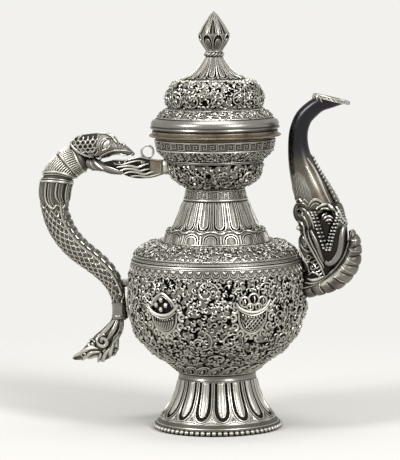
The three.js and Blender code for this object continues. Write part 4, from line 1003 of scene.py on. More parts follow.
bore = Limb([(x, z, deep - HORN_WALL, wide - HORN_WALL) for x, z, deep, wide in HORN_STATIONS]).skin(40)
bmesh.ops.delete(bore, geom=[v for v in bore.verts if v.co.z < BORE_FOOT], context="VERTS")
bmesh.ops.contextual_create(bore, geom=[e for e in bore.edges if e.is_boundary])
for skin in (horn, bore):
    bmesh.ops.bisect_plane(skin, geom=[*skin.verts, *skin.edges, *skin.faces], dist=1e-6,
                           plane_co=lip_centre + lip_rise * LIP_OVERLAP, plane_no=lip_rise,
                           clear_outer=True)
bored = bpy.data.meshes.new("bored")
bore.to_mesh(bored)
bore.free()
horn.from_mesh(bored)
bpy.data.meshes.remove(bored)
bmesh.ops.bridge_loops(horn, edges=[e for e in horn.edges if e.is_boundary])
bmesh.ops.recalc_face_normals(horn, faces=horn.faces)
on_horn = Drape(horn)
head = Limb([(85.6, 131, 11, 11.5), (87.2, 138, 14.8, 14.2), (86.6, 147, 17.2, 15.6),
             (84.6, 157, 18.6, 16), (82.6, 168, 18.6, 15.8), (81.6, 172.4, 17.8, 15.2)])


GAPE_FOOT = 141
GAPE_TALL = 28
GAPE_DEEP = 6
SCUTE_PITCH = 7.2
SCUTE_HALF = 1.9


def gape(along, around, x, z):
    """The open mouth: a wedge pressed in between the two rows of teeth."""
    share = (z - GAPE_FOOT) / GAPE_TALL
    if not 0 < share < 1.15:
        return 0
    room = min(x - (87.4 - 8.6 * share), (89 + 6.6 * share) - x, 31 * (1.15 - share))
    return -GAPE_DEEP * min(max(room / 1.4, 0), 1) * min(1, share * 4)


head = head.skin(112, pitch=0.7, relief=gape, ends=0.2)
# Slot 1 paints the face inside the open jaws black: painted shade, where the mouth lies in shadow.
coated(head, 1, lambda x, z: x > 71 + max(0, 158 - z) * 0.4 if z < 160 else 76 < x < 96)


def scuted(along, around, x, z):
    """Belly plates on the outer side of the neck, each lapping over the next."""
    if abs(around) > SCUTE_HALF:
        return 0
    phase = (along / SCUTE_PITCH - 0.34 * cos(around)) % 1
    edge = min(1, (SCUTE_HALF - abs(around)) * 2.5)
    return (0.75 * sin(pi * phase) ** 0.6 if phase > 0.12 else -0.9) * edge


neck = Limb([(68, 107.8, 5.6, 7.4), (77, 110.2, 6, 8.6), (87, 113.6, 6.8, 9.8), (97, 119.8, 8, 10.4),
             (105, 130.6, 7.8, 10), (108.4, 143.6, 5.4, 8.4), (107.8, 150.4, 3.8, 6),
             (106, 155.4, 1.8, 2.4)]).skin(64, pitch=0.5, relief=scuted, ends=0.3)
mane = Limb([(73.5, 121, 3, 4.4), (72.4, 129, 4.6, 6.6), (71.4, 140, 5.4, 8), (70.6, 149, 4.8, 7.2),
             (70.4, 157, 3, 4.8)]).skin()
trunk = Limb([(68.2, 162, 2.6, 4), (64.6, 166.4, 2.9, 4.4), (63.8, 172, 2.9, 4.2),
              (66.6, 176.4, 2.6, 3.6), (71.6, 178, 1.8, 2.6)]).skin()
on_head = Drape(throat, head, neck, mane, trunk, horn)
deliver(horn, "spout_horn_raised", horn_silver, ["spout_horn"])

lines = []
HAIRS = 13
HAIR_FOOT = 203
for k in range(HAIRS):
    share = k / (HAIRS - 1)
    root, tip = 61.4 + 17 * share, 60.8 + 10 * share
    lines += on_horn.line([(tip + (root - tip) * fall + sway * (0.6 - share),
                            HAIR_FOOT - 8 * abs(share - 0.45) - 21 * fall)
                           for fall, sway in ((0, 0), (0.25, 1.2), (0.5, -0.8), (0.75, 0.9), (1, 0))],
                          0.5 if k % 2 else 0.36, 0.12)
for line, width in (
        ([(72.6, 213), (76.8, 206.2), (80.6, 199), (84, 191.2), (87.6, 183), (91.6, 175)], 1.1),
        ([(71.6, 207), (75.6, 200), (79.2, 192), (82.6, 185)], 0.4)):
    lines += on_horn.line(line, width, 0.15)
strokes("spout_horn_hair", lines)
crest_low = horn_limb.to_station(0.7)
crest_high = horn_limb.to_station(4.3)
lines = [[(horn_limb.at(crest_low + (crest_high - crest_low) * k / 40, 0, 0.2), 1.0 - 0.5 * k / 40)
          for k in range(41)]]
CREST_CURLS = 13
for k in range(CREST_CURLS):
    foot = crest_low + (crest_high - crest_low) * k / CREST_CURLS
    size = 1.35 - 0.75 * k / CREST_CURLS
    lines.append([(horn_limb.at(foot + rise * size, 0, lift * size), width * size)
                  for rise, lift, width in ((0, 0.2, 1.2), (0.8, 1.7, 1.25), (2.1, 2.5, 0.8),
                                            (3.0, 2.3, 0.3))])
strokes("spout_crest_curls", lines, material=chased_ground, replaced=["spout_crest"])

LIP_LONG = 14.4
LIP_WIDE = 7.6


def lip_frame(grow, up):
    """The lip's oval, grown by some mm and raised by some off the plane of the mouth."""
    turn = Matrix.Rotation(-LIP_TILT, 4, "Y")
    return (Matrix.Translation(lip_centre + lip_rise * up * MM) @ turn
            @ Matrix.Diagonal(((LIP_LONG + grow) * MM, (LIP_WIDE + grow) * MM, MM, 1)))


def on_lip(turn, grow, up):
    """A point of the lip's oval, grown and raised as above."""
    return lip_frame(grow, up) @ Vector((cos(turn), sin(turn), 0))


lip, _ = lofted([lip_frame(grow, up) for grow, up in (
    (-2, 0), (-0.5, 0), (-0.1, 0.4), (0, 1.4), (-0.1, 2.4), (-0.5, 2.8), (-1.4, 2.9), (-2.2, 2.6),
    (-2.6, 1.6), (-2.6, 0.6))], 72, closed=True)
deliver(lip, "spout_lip_band", smooth_silver, ["spout_lip"])
lines = [[(on_lip(tau * k / 72, 0.05, up), 0.34) for k in range(73)] for up in (0.35, 2.55)]
LIP_LOZENGES = 26
for k in range(LIP_LOZENGES):
    for rises in ((2.4, 1.45, 0.5), (0.5, 1.45, 2.4)):
        lines.append([(on_lip(tau * (k + share) / LIP_LOZENGES, 0.05, up), 0.24)
                      for share, up in zip((0, 0.5, 1), rises)])
for side in (-1, 1):
    for k in range(4):
        turn = pi - side * (0.2 + 0.3 * k)
        lines.append([(on_lip(turn + side * bend, grow, up), width) for grow, up, bend, width in (
            (-0.6, -2.4, 0, 0.4), (0.1, -0.8, 0.08, 0.8), (0.2, 0.8, 0.1, 0.9), (-0.4, 2.2, 0.04, 0.7),
            (-1.4, 2.7, -0.05, 0.3))])
strokes("spout_lip_lozenges", lines)


def almond(place, tilt, long, deep, tall):
    """An eye about a place in metres, tilted in the side view, with its half sizes in mm."""
    eye = bmesh.new()
    bmesh.ops.create_icosphere(eye, subdivisions=3, radius=1,
                               matrix=Matrix.Translation(place) @ Matrix.Rotation(tilt, 4, "Y")
                               @ Matrix.Diagonal((long * MM, deep * MM, tall * MM, 1)))
    return eye


lenses = [almond(on_head.on(side, 89.2, 166.4, -1.6), 0.5, 5.6, 4.2, 4.2) for side in (-1, 1)]
on_eye = Drape(*lenses)
for name, lens in zip(("near", "far"), lenses):
    deliver(lens, "makara_eyeball_" + name, black_ground_and_shade, ["makara_eye_" + name])
lines = []
for points, width in (
        ([(84, 165.6), (85.8, 169), (89.4, 170.6), (93, 169.2), (94.6, 166.6)], 0.85),
        ([(84.6, 163.6), (86.8, 167), (90, 168), (93.6, 165.6)], 0.8),
        ([(85.6, 162), (88, 164.8), (90.6, 165.4), (93.2, 163)], 0.75),
        ([(87, 160.9), (89.4, 162.6), (91.8, 161.4)], 0.7)):
    lines += on_eye.line(points, width, 0.25)
lines += on_head.lines(
    ([(73.8, 175.5), (75.6, 178.9), (78.8, 180.9), (82.4, 180), (85.9, 176.6)], 1.2, 0.5),
    ([(75.4, 174.6), (77, 177), (79.4, 178.2), (82, 177)], 0.6, 0.2),
    ([(80, 172.6), (83, 175.9), (87.3, 176.7), (91, 175), (94, 171.8), (95.9, 168)], 1.35, 0.7),
    ([(81.8, 171.4), (84, 173.6), (87.4, 174.2), (90.4, 172.8), (93.6, 169)], 0.7, 0.3),
    ([(62.6, 181.4), (64.4, 179.6), (66.6, 181.2), (68.8, 179.4), (71, 180.8), (73.4, 178.6)], 0.85, 0.4),
    ([(63.4, 178.6), (66, 177.2), (69.4, 178), (73, 175.6)], 0.7, 0.3),
    ([(74.4, 172.6), (77, 170.4), (78.6, 166.8)], 0.8, 0.3),
    ([(94.8, 175.4), (97.2, 171.4), (98.8, 167), (101.4, 163.4), (104.6, 160.6)], 1.3, 0.4),
    ([(96.6, 168), (98.6, 164), (101.4, 160.2)], 0.8, 0.3),
    ([(64.6, 172.1), (68.1, 173.9), (72.1, 172), (75.5, 168.2), (77.4, 163), (78.4, 158.6)], 1.1, 0.5),
    ([(66.6, 169.4), (70.3, 167.4), (72.9, 163.4), (74, 158.2)], 0.7, 0.3),
    (spiral(66.8, 169.8, 3.6, 1.1, 2.4, -1), 0.8, 0.4),
    ([(64.6, 162.6), (66.8, 163.6), (69.5, 161.4), (70.6, 158), (70.2, 154.8)], 0.9, 0.5),
    ([(70.5, 158), (71.4, 152.8), (73.5, 147.6), (76.9, 141.3), (80.3, 135), (83.1, 128.6), (85.6, 120.9)],
     1.15, 0.8),
    ([(73.6, 157.4), (74.6, 151.6), (76.9, 145.9), (79.8, 140.7), (82, 135.5), (84.2, 131), (85.4, 127.4)],
     0.9, 0.5),
    ([(69, 154.4), (66.4, 149.8), (66.2, 144.6), (67.4, 139), (69.8, 133.4), (72.6, 128), (74.4, 122.9)],
     1.0, 0.5),
    ([(67, 146.4), (69.6, 142.2), (73.4, 139.8), (76.8, 140.3)], 0.8, 0.4),
    ([(69.4, 151.6), (71.4, 148.4), (71.6, 144.8), (69.6, 143.6)], 0.7, 0.4),
    (spiral(73, 135.6, 2.8, 1.2, 3.4, 1), 0.65, 0.4),
    ([(71.6, 131), (74, 132), (77.4, 130.4), (79.4, 126.6)], 0.8, 0.4),
    (spiral(76.6, 127.4, 2.6, 1.1, 0.6, -1), 0.6, 0.4),
    ([(73.4, 121.4), (76.4, 123.6), (80, 122.6), (82.6, 119.6)], 0.9, 0.4),
    ([(72.4, 118.6), (76, 117.6), (80.6, 118.8), (85, 120.6)], 1.2, 0.7),
    ([(70.6, 115.4), (75.6, 115), (80.4, 116.4), (85.6, 118.6)], 0.8, 0.5),
    ([(106.8, 155.6), (104.9, 148.2), (103.6, 143), (101.3, 136.7), (98, 131.5), (94, 126.3),
      (89.2, 121.7), (84, 117.6), (77, 113.6), (68.6, 111)], 0.95, 0.5),
    ([(82.4, 116.4), (82, 111.8), (84.6, 107.3)], 0.7, 0.3),
    ([(105.6, 149.2), (108.6, 148.2), (112, 149)], 0.5, 0.3),
    ([(103.8, 143), (108, 140), (113, 140.2)], 0.5, 0.3),
    ([(102, 136.2), (106, 132.4), (110.6, 130.2)], 0.5, 0.3),
    ([(98.4, 128.8), (102.6, 125.4), (107.6, 123)], 0.5, 0.3),
    ([(93.2, 120.9), (98, 117.4), (102, 116.2)], 0.5, 0.3))
for k in range(12):
    x, z = 71.4 + 1.05 * k, 152 - 2.7 * k
    lines += on_head.line([(x + 1.4, z + 1.4), (x - 0.6, z - 0.4), (x - 3.2, z - 1)], 0.4, 0.15)
for k in range(6):
    x, z = 97.6 + 0.9 * k, 172 - 2.1 * k
    lines += on_head.line([(x - 1.6, z - 2), (x - 0.2, z), (x + 1.8, z + 0.6)], 0.5, 0.3)
strokes("makara_face_lines", lines)
lines = []
for points, width, lift in (
        ([(104.4, 162), (101, 159), (99.4, 152), (98.6, 144), (96.4, 137), (92.6, 132), (88.8, 130.2),
          (86.4, 132.4)], 3.1, -0.9),
        ([(75.4, 157), (78.6, 150.5), (81, 144.7), (82.8, 138.4), (85, 132.4)], 2.0, -0.4)):
    lines += on_head.line(points, width, lift, 0.5)
strokes("makara_jaw_rims", lines, 5, material=smooth_silver)
teeth = bmesh.new()
LEFT_TEETH = [(78.1, 171), (80.6, 163), (83.7, 153.6), (86.9, 143.6)]
RIGHT_TEETH = [(96.6, 166.6), (93.3, 158.4), (90.9, 150), (89, 142)]
for row in (LEFT_TEETH, RIGHT_TEETH):
    for shift in (-1.0, 1.0):
        on_head.studs(teeth, [(x + shift * 1.15, z) for x, z in row], size=1.35, count=11, lift=1.0,
                      tall=0.85)
on_head.studs(teeth, [(66.4, 158.4), (66.2, 158)], size=2.5, count=1, lift=0.6)
for name, gone in (("near", 1), ("far", -1)):
    half = teeth.copy()
    bmesh.ops.delete(half, geom=[v for v in half.verts if v.co.y * gone > 0], context="VERTS")
    deliver(half, "makara_tooth_row_" + name, chased_silver, ["makara_teeth_" + name])
teeth.free()
# The throat is black as painted shade, where it lies half hidden behind the neck plates.
deliver(throat, "makara_throat_skin", black_ground_and_shade, ["makara_throat"])
deliver(head, "makara_head_skin", blackened_silver, ["makara_head"], more=(black_ground_and_shade,))
deliver(neck, "makara_neck_plates", stippled_silver, ["makara_neck"])
deliver(mane, "makara_mane_skin", blackened_silver, ["makara_mane"])
deliver(trunk, "makara_trunk_skin", blackened_silver, ["makara_trunk"])


# Handle: a dragon whose scaled body is the grip, cast hollow in lengths that meet under the collars. It
# bites the arm that is soldered to the mouth cup, and a peg below holds it off the belly.
HANDLE_STATIONS = [
    (-106, 212.4, 9.6, 9.6), (-114.4, 209.2, 11.2, 10.8), (-121.8, 202.8, 11.8, 11.2),
    (-126, 194.4, 11.9, 11.2), (-127.6, 184, 11.4, 10.8), (-127.6, 173.6, 10.2, 10),
    (-125, 162, 9.4, 9.4), (-118.8, 150.4, 9, 9), (-109.6, 140, 8.6, 8.6), (-98.2, 131.2, 8.1, 8.2),
    (-88.4, 122.4, 7.3, 7.6), (-81.6, 112.8, 6.2, 6.6), (-78, 103.4, 5.4, 5.8), (-77, 94.6, 5, 5.4),
    (-77, 86, 5.2, 5.5)]
grip = Limb(HANDLE_STATIONS)
HOOD_EDGE = grip.to_station(1.15)
COLLAR_TOP = grip.to_station(2.05)
COLLAR_FOOT = grip.to_station(2.9)
SLEEVE_FOOT = grip.to_station(4.85)
SCALES_FOOT = grip.to_station(12.55)
PLATES_TOP = grip.to_station(4.9)
PLATES_FOOT = grip.to_station(12.0)
HOOD_SKEW = 1.5
COLLAR_TOP_SKEW = 6.2
COLLAR_FOOT_SKEW = 3.2
PLATE_PITCH = 7.2
PLATE_HALF = 0.86


def body_form(along, around, x, z):
    """The hood, the collar's hollow, the sleeve and the belly plates, as they stand off the plain bar.
    The collars sit askew: their outer side lies further down the body than their inner side."""
    lean = cos(around)
    if along < HOOD_EDGE + HOOD_SKEW * lean:
        return 0.9
    top = COLLAR_TOP + COLLAR_TOP_SKEW * lean
    foot = COLLAR_FOOT + COLLAR_FOOT_SKEW * lean
    if along < top:
        return 0.35
    if along < foot:
        return 0.5 - 1.3 * sin(pi * (along - top) / (foot - top)) ** 0.5
    if along < SLEEVE_FOOT:
        return 0.45 + 0.5 * cos(9 * around)
    if along > SCALES_FOOT:
        return 0.5
    inner = pi - abs(around)
    if PLATES_TOP < along < PLATES_FOOT and inner < PLATE_HALF:
        phase = (along - PLATES_TOP) / PLATE_PITCH % 1
        grown = min(1, (along - PLATES_TOP) / 12, (PLATES_FOOT - along) / 5, (PLATE_HALF - inner) * 8)
        return (1.7 if 0.12 < phase < 0.78 else 0.5) * grown
    return 0.0


def netting(limb, low, high, arc, pitch, width, edge):
    """Fish scales on a bar: rows of round tongues, each row half a scale further round than the last."""
    lines = []
    rows = round((high - low) / pitch)
    for row in range(rows):
        start = low + (high - low) * row / rows
        stop = start + (high - low) / rows * 1.25
        (x, z, deep, wide), way = limb.station(start)
        count = max(4, round(edge * (deep + wide) / arc))
        step = 2 * edge / count
        for k in range(count):
            middle = -edge + (k + 0.5 + 0.5 * (row % 2)) * step
            if abs(middle) > edge:
                continue
            lines.append([(limb.at(start + (stop - start) * fall, middle + step * turn, 0.15 + 0.2 * fall),
                           width * w)
                          for turn, fall, w in ((-0.5, 0, 0.8), (-0.46, 0.4, 1), (-0.26, 0.84, 1.1),
                                                (0, 1, 1.2), (0.26, 0.84, 1.1), (0.46, 0.4, 1),
                                                (0.5, 0, 0.8))])
    return lines


def hoop(limb, along, skew, width, lift=0.3):
    """A raised line round a bar, set askew by some mm."""
    turns = [tau * k / 48 for k in range(49)]
    return [(limb.at(along + skew * cos(turn), turn, lift), width) for turn in turns]


body = grip.skin(72, 0.7, body_form)
deliver(body, "handle_body_skin", blackened_silver, ["handle_body"])
strokes("handle_scales", netting(grip, SLEEVE_FOOT + 1, SCALES_FOOT, 3.9, 3.5, 0.52, pi - 0.95), 2)
lines = []
for side in (-1, 1):
    for turn, width, lift in ((0.98, 1.05, 0.5), (0.8, 0.5, 0.3)):
        count = 60
        lines.append([(grip.at(PLATES_TOP - 6 + (PLATES_FOOT + 6 - PLATES_TOP) * k / count,
                               side * (pi - turn), lift), width * min(1, 0.4 + k / 8))
                      for k in range(count + 1)])
strokes("handle_ridge", lines)
lines = []
for k in range(int((PLATES_FOOT - PLATES_TOP) / PLATE_PITCH)):
    start = PLATES_TOP + k * PLATE_PITCH
    proud = min(1, (k + 0.5) / 2)
    for share, width, lift in ((0.16, 0.42, 1.6), (0.74, 0.42, 1.6), (0.88, 0.4, 1.0), (1.02, 0.4, 1.0)):
        lines.append([(grip.at(start + share * PLATE_PITCH, pi + turn, lift * proud), width)
                      for turn in (-0.78, -0.4, 0, 0.4, 0.78)])
    for side in (-1, 1):
        lines.append([(grip.at(start + share * PLATE_PITCH, pi + side * 0.74, 1.5 * proud), 0.45)
                      for share in (0.16, 0.45, 0.74)])
strokes("handle_belly_plates", lines, replaced=["handle_scutes"])

lines = [hoop(grip, HOOD_EDGE - 0.3, HOOD_SKEW, 0.65, 1.0),
         hoop(grip, HOOD_EDGE - 8.6, HOOD_SKEW, 0.9, 1.2)]
for k in range(42):
    turn = tau * k / 42
    lines.append([(grip.at(HOOD_EDGE + HOOD_SKEW * cos(turn) - 1 - 7 * share, turn, 1.0), 0.42)
                  for share in (0, 0.33, 0.66, 1)])
    top = COLLAR_TOP + COLLAR_TOP_SKEW * cos(turn)
    start = HOOD_EDGE + HOOD_SKEW * cos(turn) + 1.6
    lines.append([(grip.at(start + (top - start) * share, turn, 0.35), 0.36)
                  for share in (0, 0.33, 0.66, 0.95)])
strokes("handle_hood_ribs", lines, replaced=["handle_mane_collar"])
lines = [hoop(grip, COLLAR_TOP, COLLAR_TOP_SKEW, 0.95, 0.6),
         hoop(grip, COLLAR_TOP + 2.0, COLLAR_TOP_SKEW - 0.5, 0.4),
         hoop(grip, COLLAR_FOOT - 2.0, COLLAR_FOOT_SKEW + 0.6, 0.4),
         hoop(grip, COLLAR_FOOT, COLLAR_FOOT_SKEW, 0.9, 0.6)]
strokes("handle_collar_wires", lines, replaced=["handle_neck_collar"])
lines = []
FLAMES = 9
for k in range(FLAMES):
    turn = tau * (k + 0.5) / FLAMES
    long = (SLEEVE_FOOT - COLLAR_FOOT) * (1.0 if k % 2 else 0.84)
    for shift, width, lift in ((0, 0.75, 0.9), (0.2, 0.4, 0.7), (0.38, 0.4, 0.6)):
        lines.append([(grip.at(COLLAR_FOOT + 1 + long * share + COLLAR_FOOT_SKEW * cos(turn) * (1 - share),
                               turn + shift + 0.55 * max(0, share - 0.6) ** 1.3 * 2, lift), width * w)
                      for share, w in ((0, 0.8), (0.25, 1), (0.5, 1), (0.7, 1), (0.85, 0.8), (1.02, 0.35))])
lines.append([(grip.at(SLEEVE_FOOT + 1.6 * sin(FLAMES * tau * k / 108) - 1.2 * cos(tau * k / 108),
                       tau * k / 108, 0.5),
               0.55) for k in range(109)])
strokes("handle_sleeve_flames", lines)



def cuff_form(along, around, x, z):
    """The sleeve's two rims, and six shallow lobes between them."""
    return 0.8 + (0.5 if along < 1.4 or z < 88.4 else 0.25 * cos(6 * around))


cuff = Limb([grip.station(SCALES_FOOT + (grip.length - SCALES_FOOT) * k / 5)[0] for k in range(6)])
cuff = cuff.skin(60, pitch=0.5, relief=cuff_form, ends=0.1)
deliver(cuff, "handle_tail_sleeve", smooth_silver, ["handle_tail_cuff"])
tail_limb = Limb([(-77.6, 84.5, 4.8, 5.2), (-79.6, 81.4, 5.8, 6.2), (-84.4, 74.8, 7.4, 7.4),
                  (-90.6, 68, 8.2, 7.8), (-97.4, 62.2, 7.2, 7), (-104.2, 57.8, 5.4, 5.2),
                  (-109.6, 55, 3.6, 3.6), (-113.6, 53.4, 2, 2)])
tuft_limb = Limb([(-80.6, 78, 4.6, 5), (-82, 70, 5.6, 6), (-84.8, 62, 6, 6), (-89, 56, 4.4, 4.6),
                  (-93, 52, 2.2, 2.6)])
tail = tail_limb.skin(36, 0.8, lambda along, around, x, z: -1.2 + 0.5 * cos(7 * around + along * 0.22))
tuft = tuft_limb.skin(36, 0.8, lambda along, around, x, z: -1.4 + 0.6 * cos(6 * around + along * 0.3))
on_tail = Drape(tail, tuft)
lines = on_tail.lines(
    ([(-79.6, 86), (-83.6, 80.4), (-88.6, 75), (-92.6, 71)], 2.0, 0.4),
    ([(-77.4, 86), (-79.8, 80), (-83.4, 74), (-86.4, 69.8)], 1.9, 0.8),
    ([(-75.4, 86), (-75.8, 80), (-77.6, 74), (-80.4, 68.6), (-82.6, 66)], 1.8, 0.4),
    ([(-81.6, 85.4), (-86, 78.6), (-91.4, 73.6)], 0.7, 1.6),
    ([(-78.6, 85.4), (-81.4, 78.6), (-84.8, 73.4), (-86.6, 69.4)], 0.6, 2.0),
    ([(-76.4, 85.4), (-77.6, 78.6), (-80.4, 72.4), (-82, 68.4)], 0.6, 1.8),
    (spiral(-89.8, 68.2, 5.4, 1.5, 1.2, 1, 22), 1.7, 0.9),
    (spiral(-98.8, 65.4, 3.4, 1.25, 0.6, 1, 16), 1.4, 0.6),
    ([(-94.2, 62.6), (-98.8, 62.8), (-103.8, 60.4), (-108.8, 57.2), (-114.6, 54.4)], 1.9, 0.6),
    ([(-92.6, 59.6), (-98.8, 59.2), (-103.6, 55.8), (-108, 52.2)], 1.7, 0.4),
    ([(-94.4, 57), (-98.8, 54.8), (-102, 51)], 1.6, 0.2),
    ([(-87.6, 61.8), (-92.4, 57.6), (-95.6, 52.2)], 1.8, 0.5),
    ([(-84.2, 62.8), (-88.4, 57.4), (-91, 50.8)], 1.7, 0.5),
    ([(-81.4, 66.8), (-84.2, 60), (-85.8, 53)], 1.6, 0.4),
    ([(-79.2, 70), (-80, 64), (-79.6, 58)], 1.4, 0.3),
    (spiral(-81.8, 57.4, 2.6, 1.1, 1.6, -1, 12), 0.9, 0.6),
    (spiral(-94, 54, 2.8, 1.1, 0.4, -1, 12), 1.0, 0.8),
    (spiral(-105.4, 57.4, 2.4, 1.1, 2.4, 1, 12), 0.8, 0.9))
strokes("dragon_tail_leaves", lines, 4)
deliver(tail, "dragon_tail_skin", blackened_silver, ["dragon_tail"])
deliver(tuft, "dragon_tuft_skin", blackened_silver)

peg = spun([(0.2, 0), (2.6, 0), (3.1, 0.5), (3.2, 8), (3.9, 8.4), (3.9, 9.8), (3.2, 10.2), (3.2, 13),
            (4.3, 13.4), (4.3, 15), (3.4, 15.4), (3.4, 24), (0.2, 24)], 36)
bmesh.ops.translate(peg, verts=peg.verts, vec=(-AXIS_X, 0, 0))
low_peg, high_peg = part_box("handle_bracket")
bmesh.ops.rotate(peg, verts=peg.verts, cent=(0, 0, 0), matrix=Matrix.Rotation(radians(90), 3, "Y"))
bmesh.ops.translate(peg, verts=peg.verts, vec=(low_peg.x, 0, (low_peg.z + high_peg.z) / 2))
deliver(peg, "handle_peg", smooth_silver, ["handle_bracket"])


# Arm: a cast bracket shaped as flames, open at the top, that leaves the dragon's mouth and ends in a
# flange on the cup. A wire eye stands on it for the chain that once held the lid.
def slab(outline, thick, bevel):
    """A flat casting: an outline in the side view, drawn out both ways, with its edges rounded."""
    bm = bmesh.new()
    face = bm.faces.new([bm.verts.new((AXIS_X + x * MM, thick / 2 * MM, z * MM)) for x, z in outline])
    made = bmesh.ops.extrude_face_region(bm, geom=[face])["geom"]
    moved = [part for part in made if isinstance(part, bmesh.types.BMVert)]
    bmesh.ops.translate(bm, verts=moved, vec=(0, -thick * MM, 0))
    bmesh.ops.recalc_face_normals(bm, faces=bm.faces)
    rims = [e for e in bm.edges if abs(e.verts[0].co.y - e.verts[1].co.y) < 1e-7]
    bmesh.ops.bevel(bm, geom=rims, offset=bevel * MM, affect="EDGES", segments=3, profile=0.5,
                    material=-1)
    return bm


ARM_TOP = [(-88.5, 209.4), (-80.8, 210.8), (-71.3, 210.6), (-63.6, 212.4), (-58.7, 213.3), (-53.9, 212.1),
           (-46.5, 210.8), (-37.3, 211.1)]
ARM_LOW = [(-37.3, 201.2), (-42.3, 199.4), (-49.3, 197.4), (-57.7, 196.7), (-64.2, 197.2), (-70.5, 199),
           (-79, 203.4), (-88.5, 206)]
arm = slab([*smooth_line(ARM_TOP, 3), *smooth_line(ARM_LOW, 3)], 6.4, 1.5)
on_arm = Drape(arm)
lines = on_arm.lines(
    ([(-82, 211), (-72, 211), (-64, 212.6), (-58.6, 213.4), (-53, 212.2), (-46, 211), (-38, 211)],
     0.8, 0.2),
    ([(-79.6, 208.4), (-74, 207.8), (-68.6, 209), (-63.4, 210.4), (-58.8, 210.8), (-54.6, 209.8)],
     0.6, 0.3),
    ([(-77.4, 205.6), (-72.4, 206.4), (-66.4, 206.8), (-61, 205.6), (-56, 207.4), (-52, 208.6)], 1.0, 0.4),
    ([(-74.6, 203), (-69.6, 204.4), (-64, 204.2), (-59, 202.8), (-54.6, 203.8), (-51.4, 204.4)], 1.0, 0.4),
    ([(-72, 200.6), (-66.6, 202), (-61, 201.6), (-55.6, 200.2), (-50.4, 201.6), (-48, 202.6)], 1.0, 0.4),
    ([(-66.4, 198.6), (-60.6, 199), (-54, 198.2), (-48, 199.2), (-42.4, 200.8)], 0.8, 0.3),
    (spiral(-73.6, 201.8, 2.0, 1.1, 1.2, 1, 12), 0.6, 0.4),
    (spiral(-56.8, 208.2, 1.8, 1.1, 2.6, -1, 12), 0.5, 0.4),
    ([(-79.6, 209.6), (-78.4, 207.4)], 0.5, 0.3), ([(-75.4, 210), (-74, 207.6)], 0.5, 0.3),
    ([(-71, 210), (-69.8, 208.2)], 0.5, 0.3), ([(-66.8, 211), (-65.8, 209.2)], 0.5, 0.3),
    ([(-43.6, 211.4), (-42.4, 206), (-43.8, 200)], 0.5, 0.2))
strokes("handle_arm_leaves", lines)
lines = []
for points, width in (
        ([(-76, 209.4), (-72.4, 208.9), (-69.4, 209.8)], 0.8),
        ([(-67.4, 208.6), (-63.4, 209), (-60.2, 208)], 1.0),
        ([(-72.6, 204.9), (-68, 205.5), (-64.4, 205.4)], 0.8),
        ([(-61, 204.2), (-56.8, 205.4), (-53.4, 206.4)], 0.9),
        ([(-69.4, 202.8), (-64.4, 203.1), (-60, 202.2)], 0.7),
        ([(-57.6, 201.8), (-53.4, 202.8), (-50.6, 203)], 0.8),
        ([(-64.4, 200.2), (-58.8, 200.2), (-54.6, 199.6)], 0.7)):
    lines += on_arm.line(points, width, -0.35)
strokes("handle_arm_openings", lines, material=black_ground_and_shade)
FLAMES_END = -51
bmesh.ops.bisect_plane(arm, geom=[*arm.verts, *arm.edges, *arm.faces],
                       plane_co=(AXIS_X + FLAMES_END * MM, 0, 0),
                       plane_no=(1, 0, 0))
coated(arm, 1, lambda x, z: x < FLAMES_END)
deliver(arm, "handle_arm_casting", rubbed_silver, ["handle_arm"], more=(black_ground_and_shade,))
low_flange, high_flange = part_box("arm_flange")
flange = bmesh.new()
bmesh.ops.create_cone(flange, cap_ends=True, segments=40, radius1=1, radius2=1, depth=1)
bmesh.ops.transform(flange, verts=flange.verts,
                    matrix=Matrix.Translation((low_flange + high_flange) / 2)
                    @ Matrix.Diagonal((high_flange.x - low_flange.x, (high_flange.y - low_flange.y) / 2,
                                       (high_flange.z - low_flange.z) / 2, 1))
                    @ Matrix.Rotation(radians(90), 4, "Y"))
bmesh.ops.bevel(flange, geom=[e for e in flange.edges if e.calc_face_angle(0) > 1], offset=0.5 * MM,
                affect="EDGES", segments=2, profile=0.5, material=-1)
deliver(flange, "arm_flange_plate", chased_silver, ["arm_flange"])
LOOP_RADIUS = 4.7
LOOP_WIRE = 0.9
loop_middle = Vector((AXIS_X - 53.5 * MM, 0, 217.75 * MM))
loop, _ = lofted([
    Matrix.Translation(loop_middle) @ Matrix.Rotation(tau * k / 48, 4, "Y")
    @ Matrix.Translation((LOOP_RADIUS * MM, 0, 0))
    @ Matrix.Diagonal((LOOP_WIRE * MM, LOOP_WIRE * MM, MM, 1))
    for k in range(48)], 14, closed=True)
deliver(loop, "chain_eye_wire", chased_silver, ["chain_loop"])


# Dragon's head: the skull and the lower jaw are two castings, soldered over the end of the body. The cap
# is netted like the body, the snout is smooth, and the eyes are almonds under a heavy brow.
skull = Limb([(-111, 218.6, 7, 8), (-105, 221, 9.4, 10), (-97.5, 222.4, 9.6, 11), (-90, 222.8, 9.4, 11),
              (-83.5, 222.2, 8.2, 9.8), (-77.5, 220.4, 5, 7.6), (-72, 219.1, 3.9, 6),
              (-67.5, 217, 2.5, 4.6), (-64.2, 215.6, 1.2, 3)])
jaw = Limb([(-101, 209.6, 4.4, 7.2), (-95, 207.6, 4.8, 7.4), (-88, 205.4, 3.6, 6.6),
            (-81, 203.2, 2.6, 5.4), (-74, 201.2, 1.4, 3.6)])


def skull_form(along, around, x, z):
    """The brow's bulge over the eye, the dip behind the nostrils, and the nostrils themselves."""
    side = abs(sin(around))
    brow = 1.1 * max(0, 1 - hypot((x + 86.5) / 5.5, (z - 228.6) / 4))
    nostril = 1.6 * max(0, 1 - hypot((x + 74.4) / 2.6, (z - 222.4) / 2.8)) * side
    cheek = 1.0 * max(0, 1 - hypot((x + 90.5) / 5, (z - 216.4) / 3.5))
    return brow + nostril + cheek


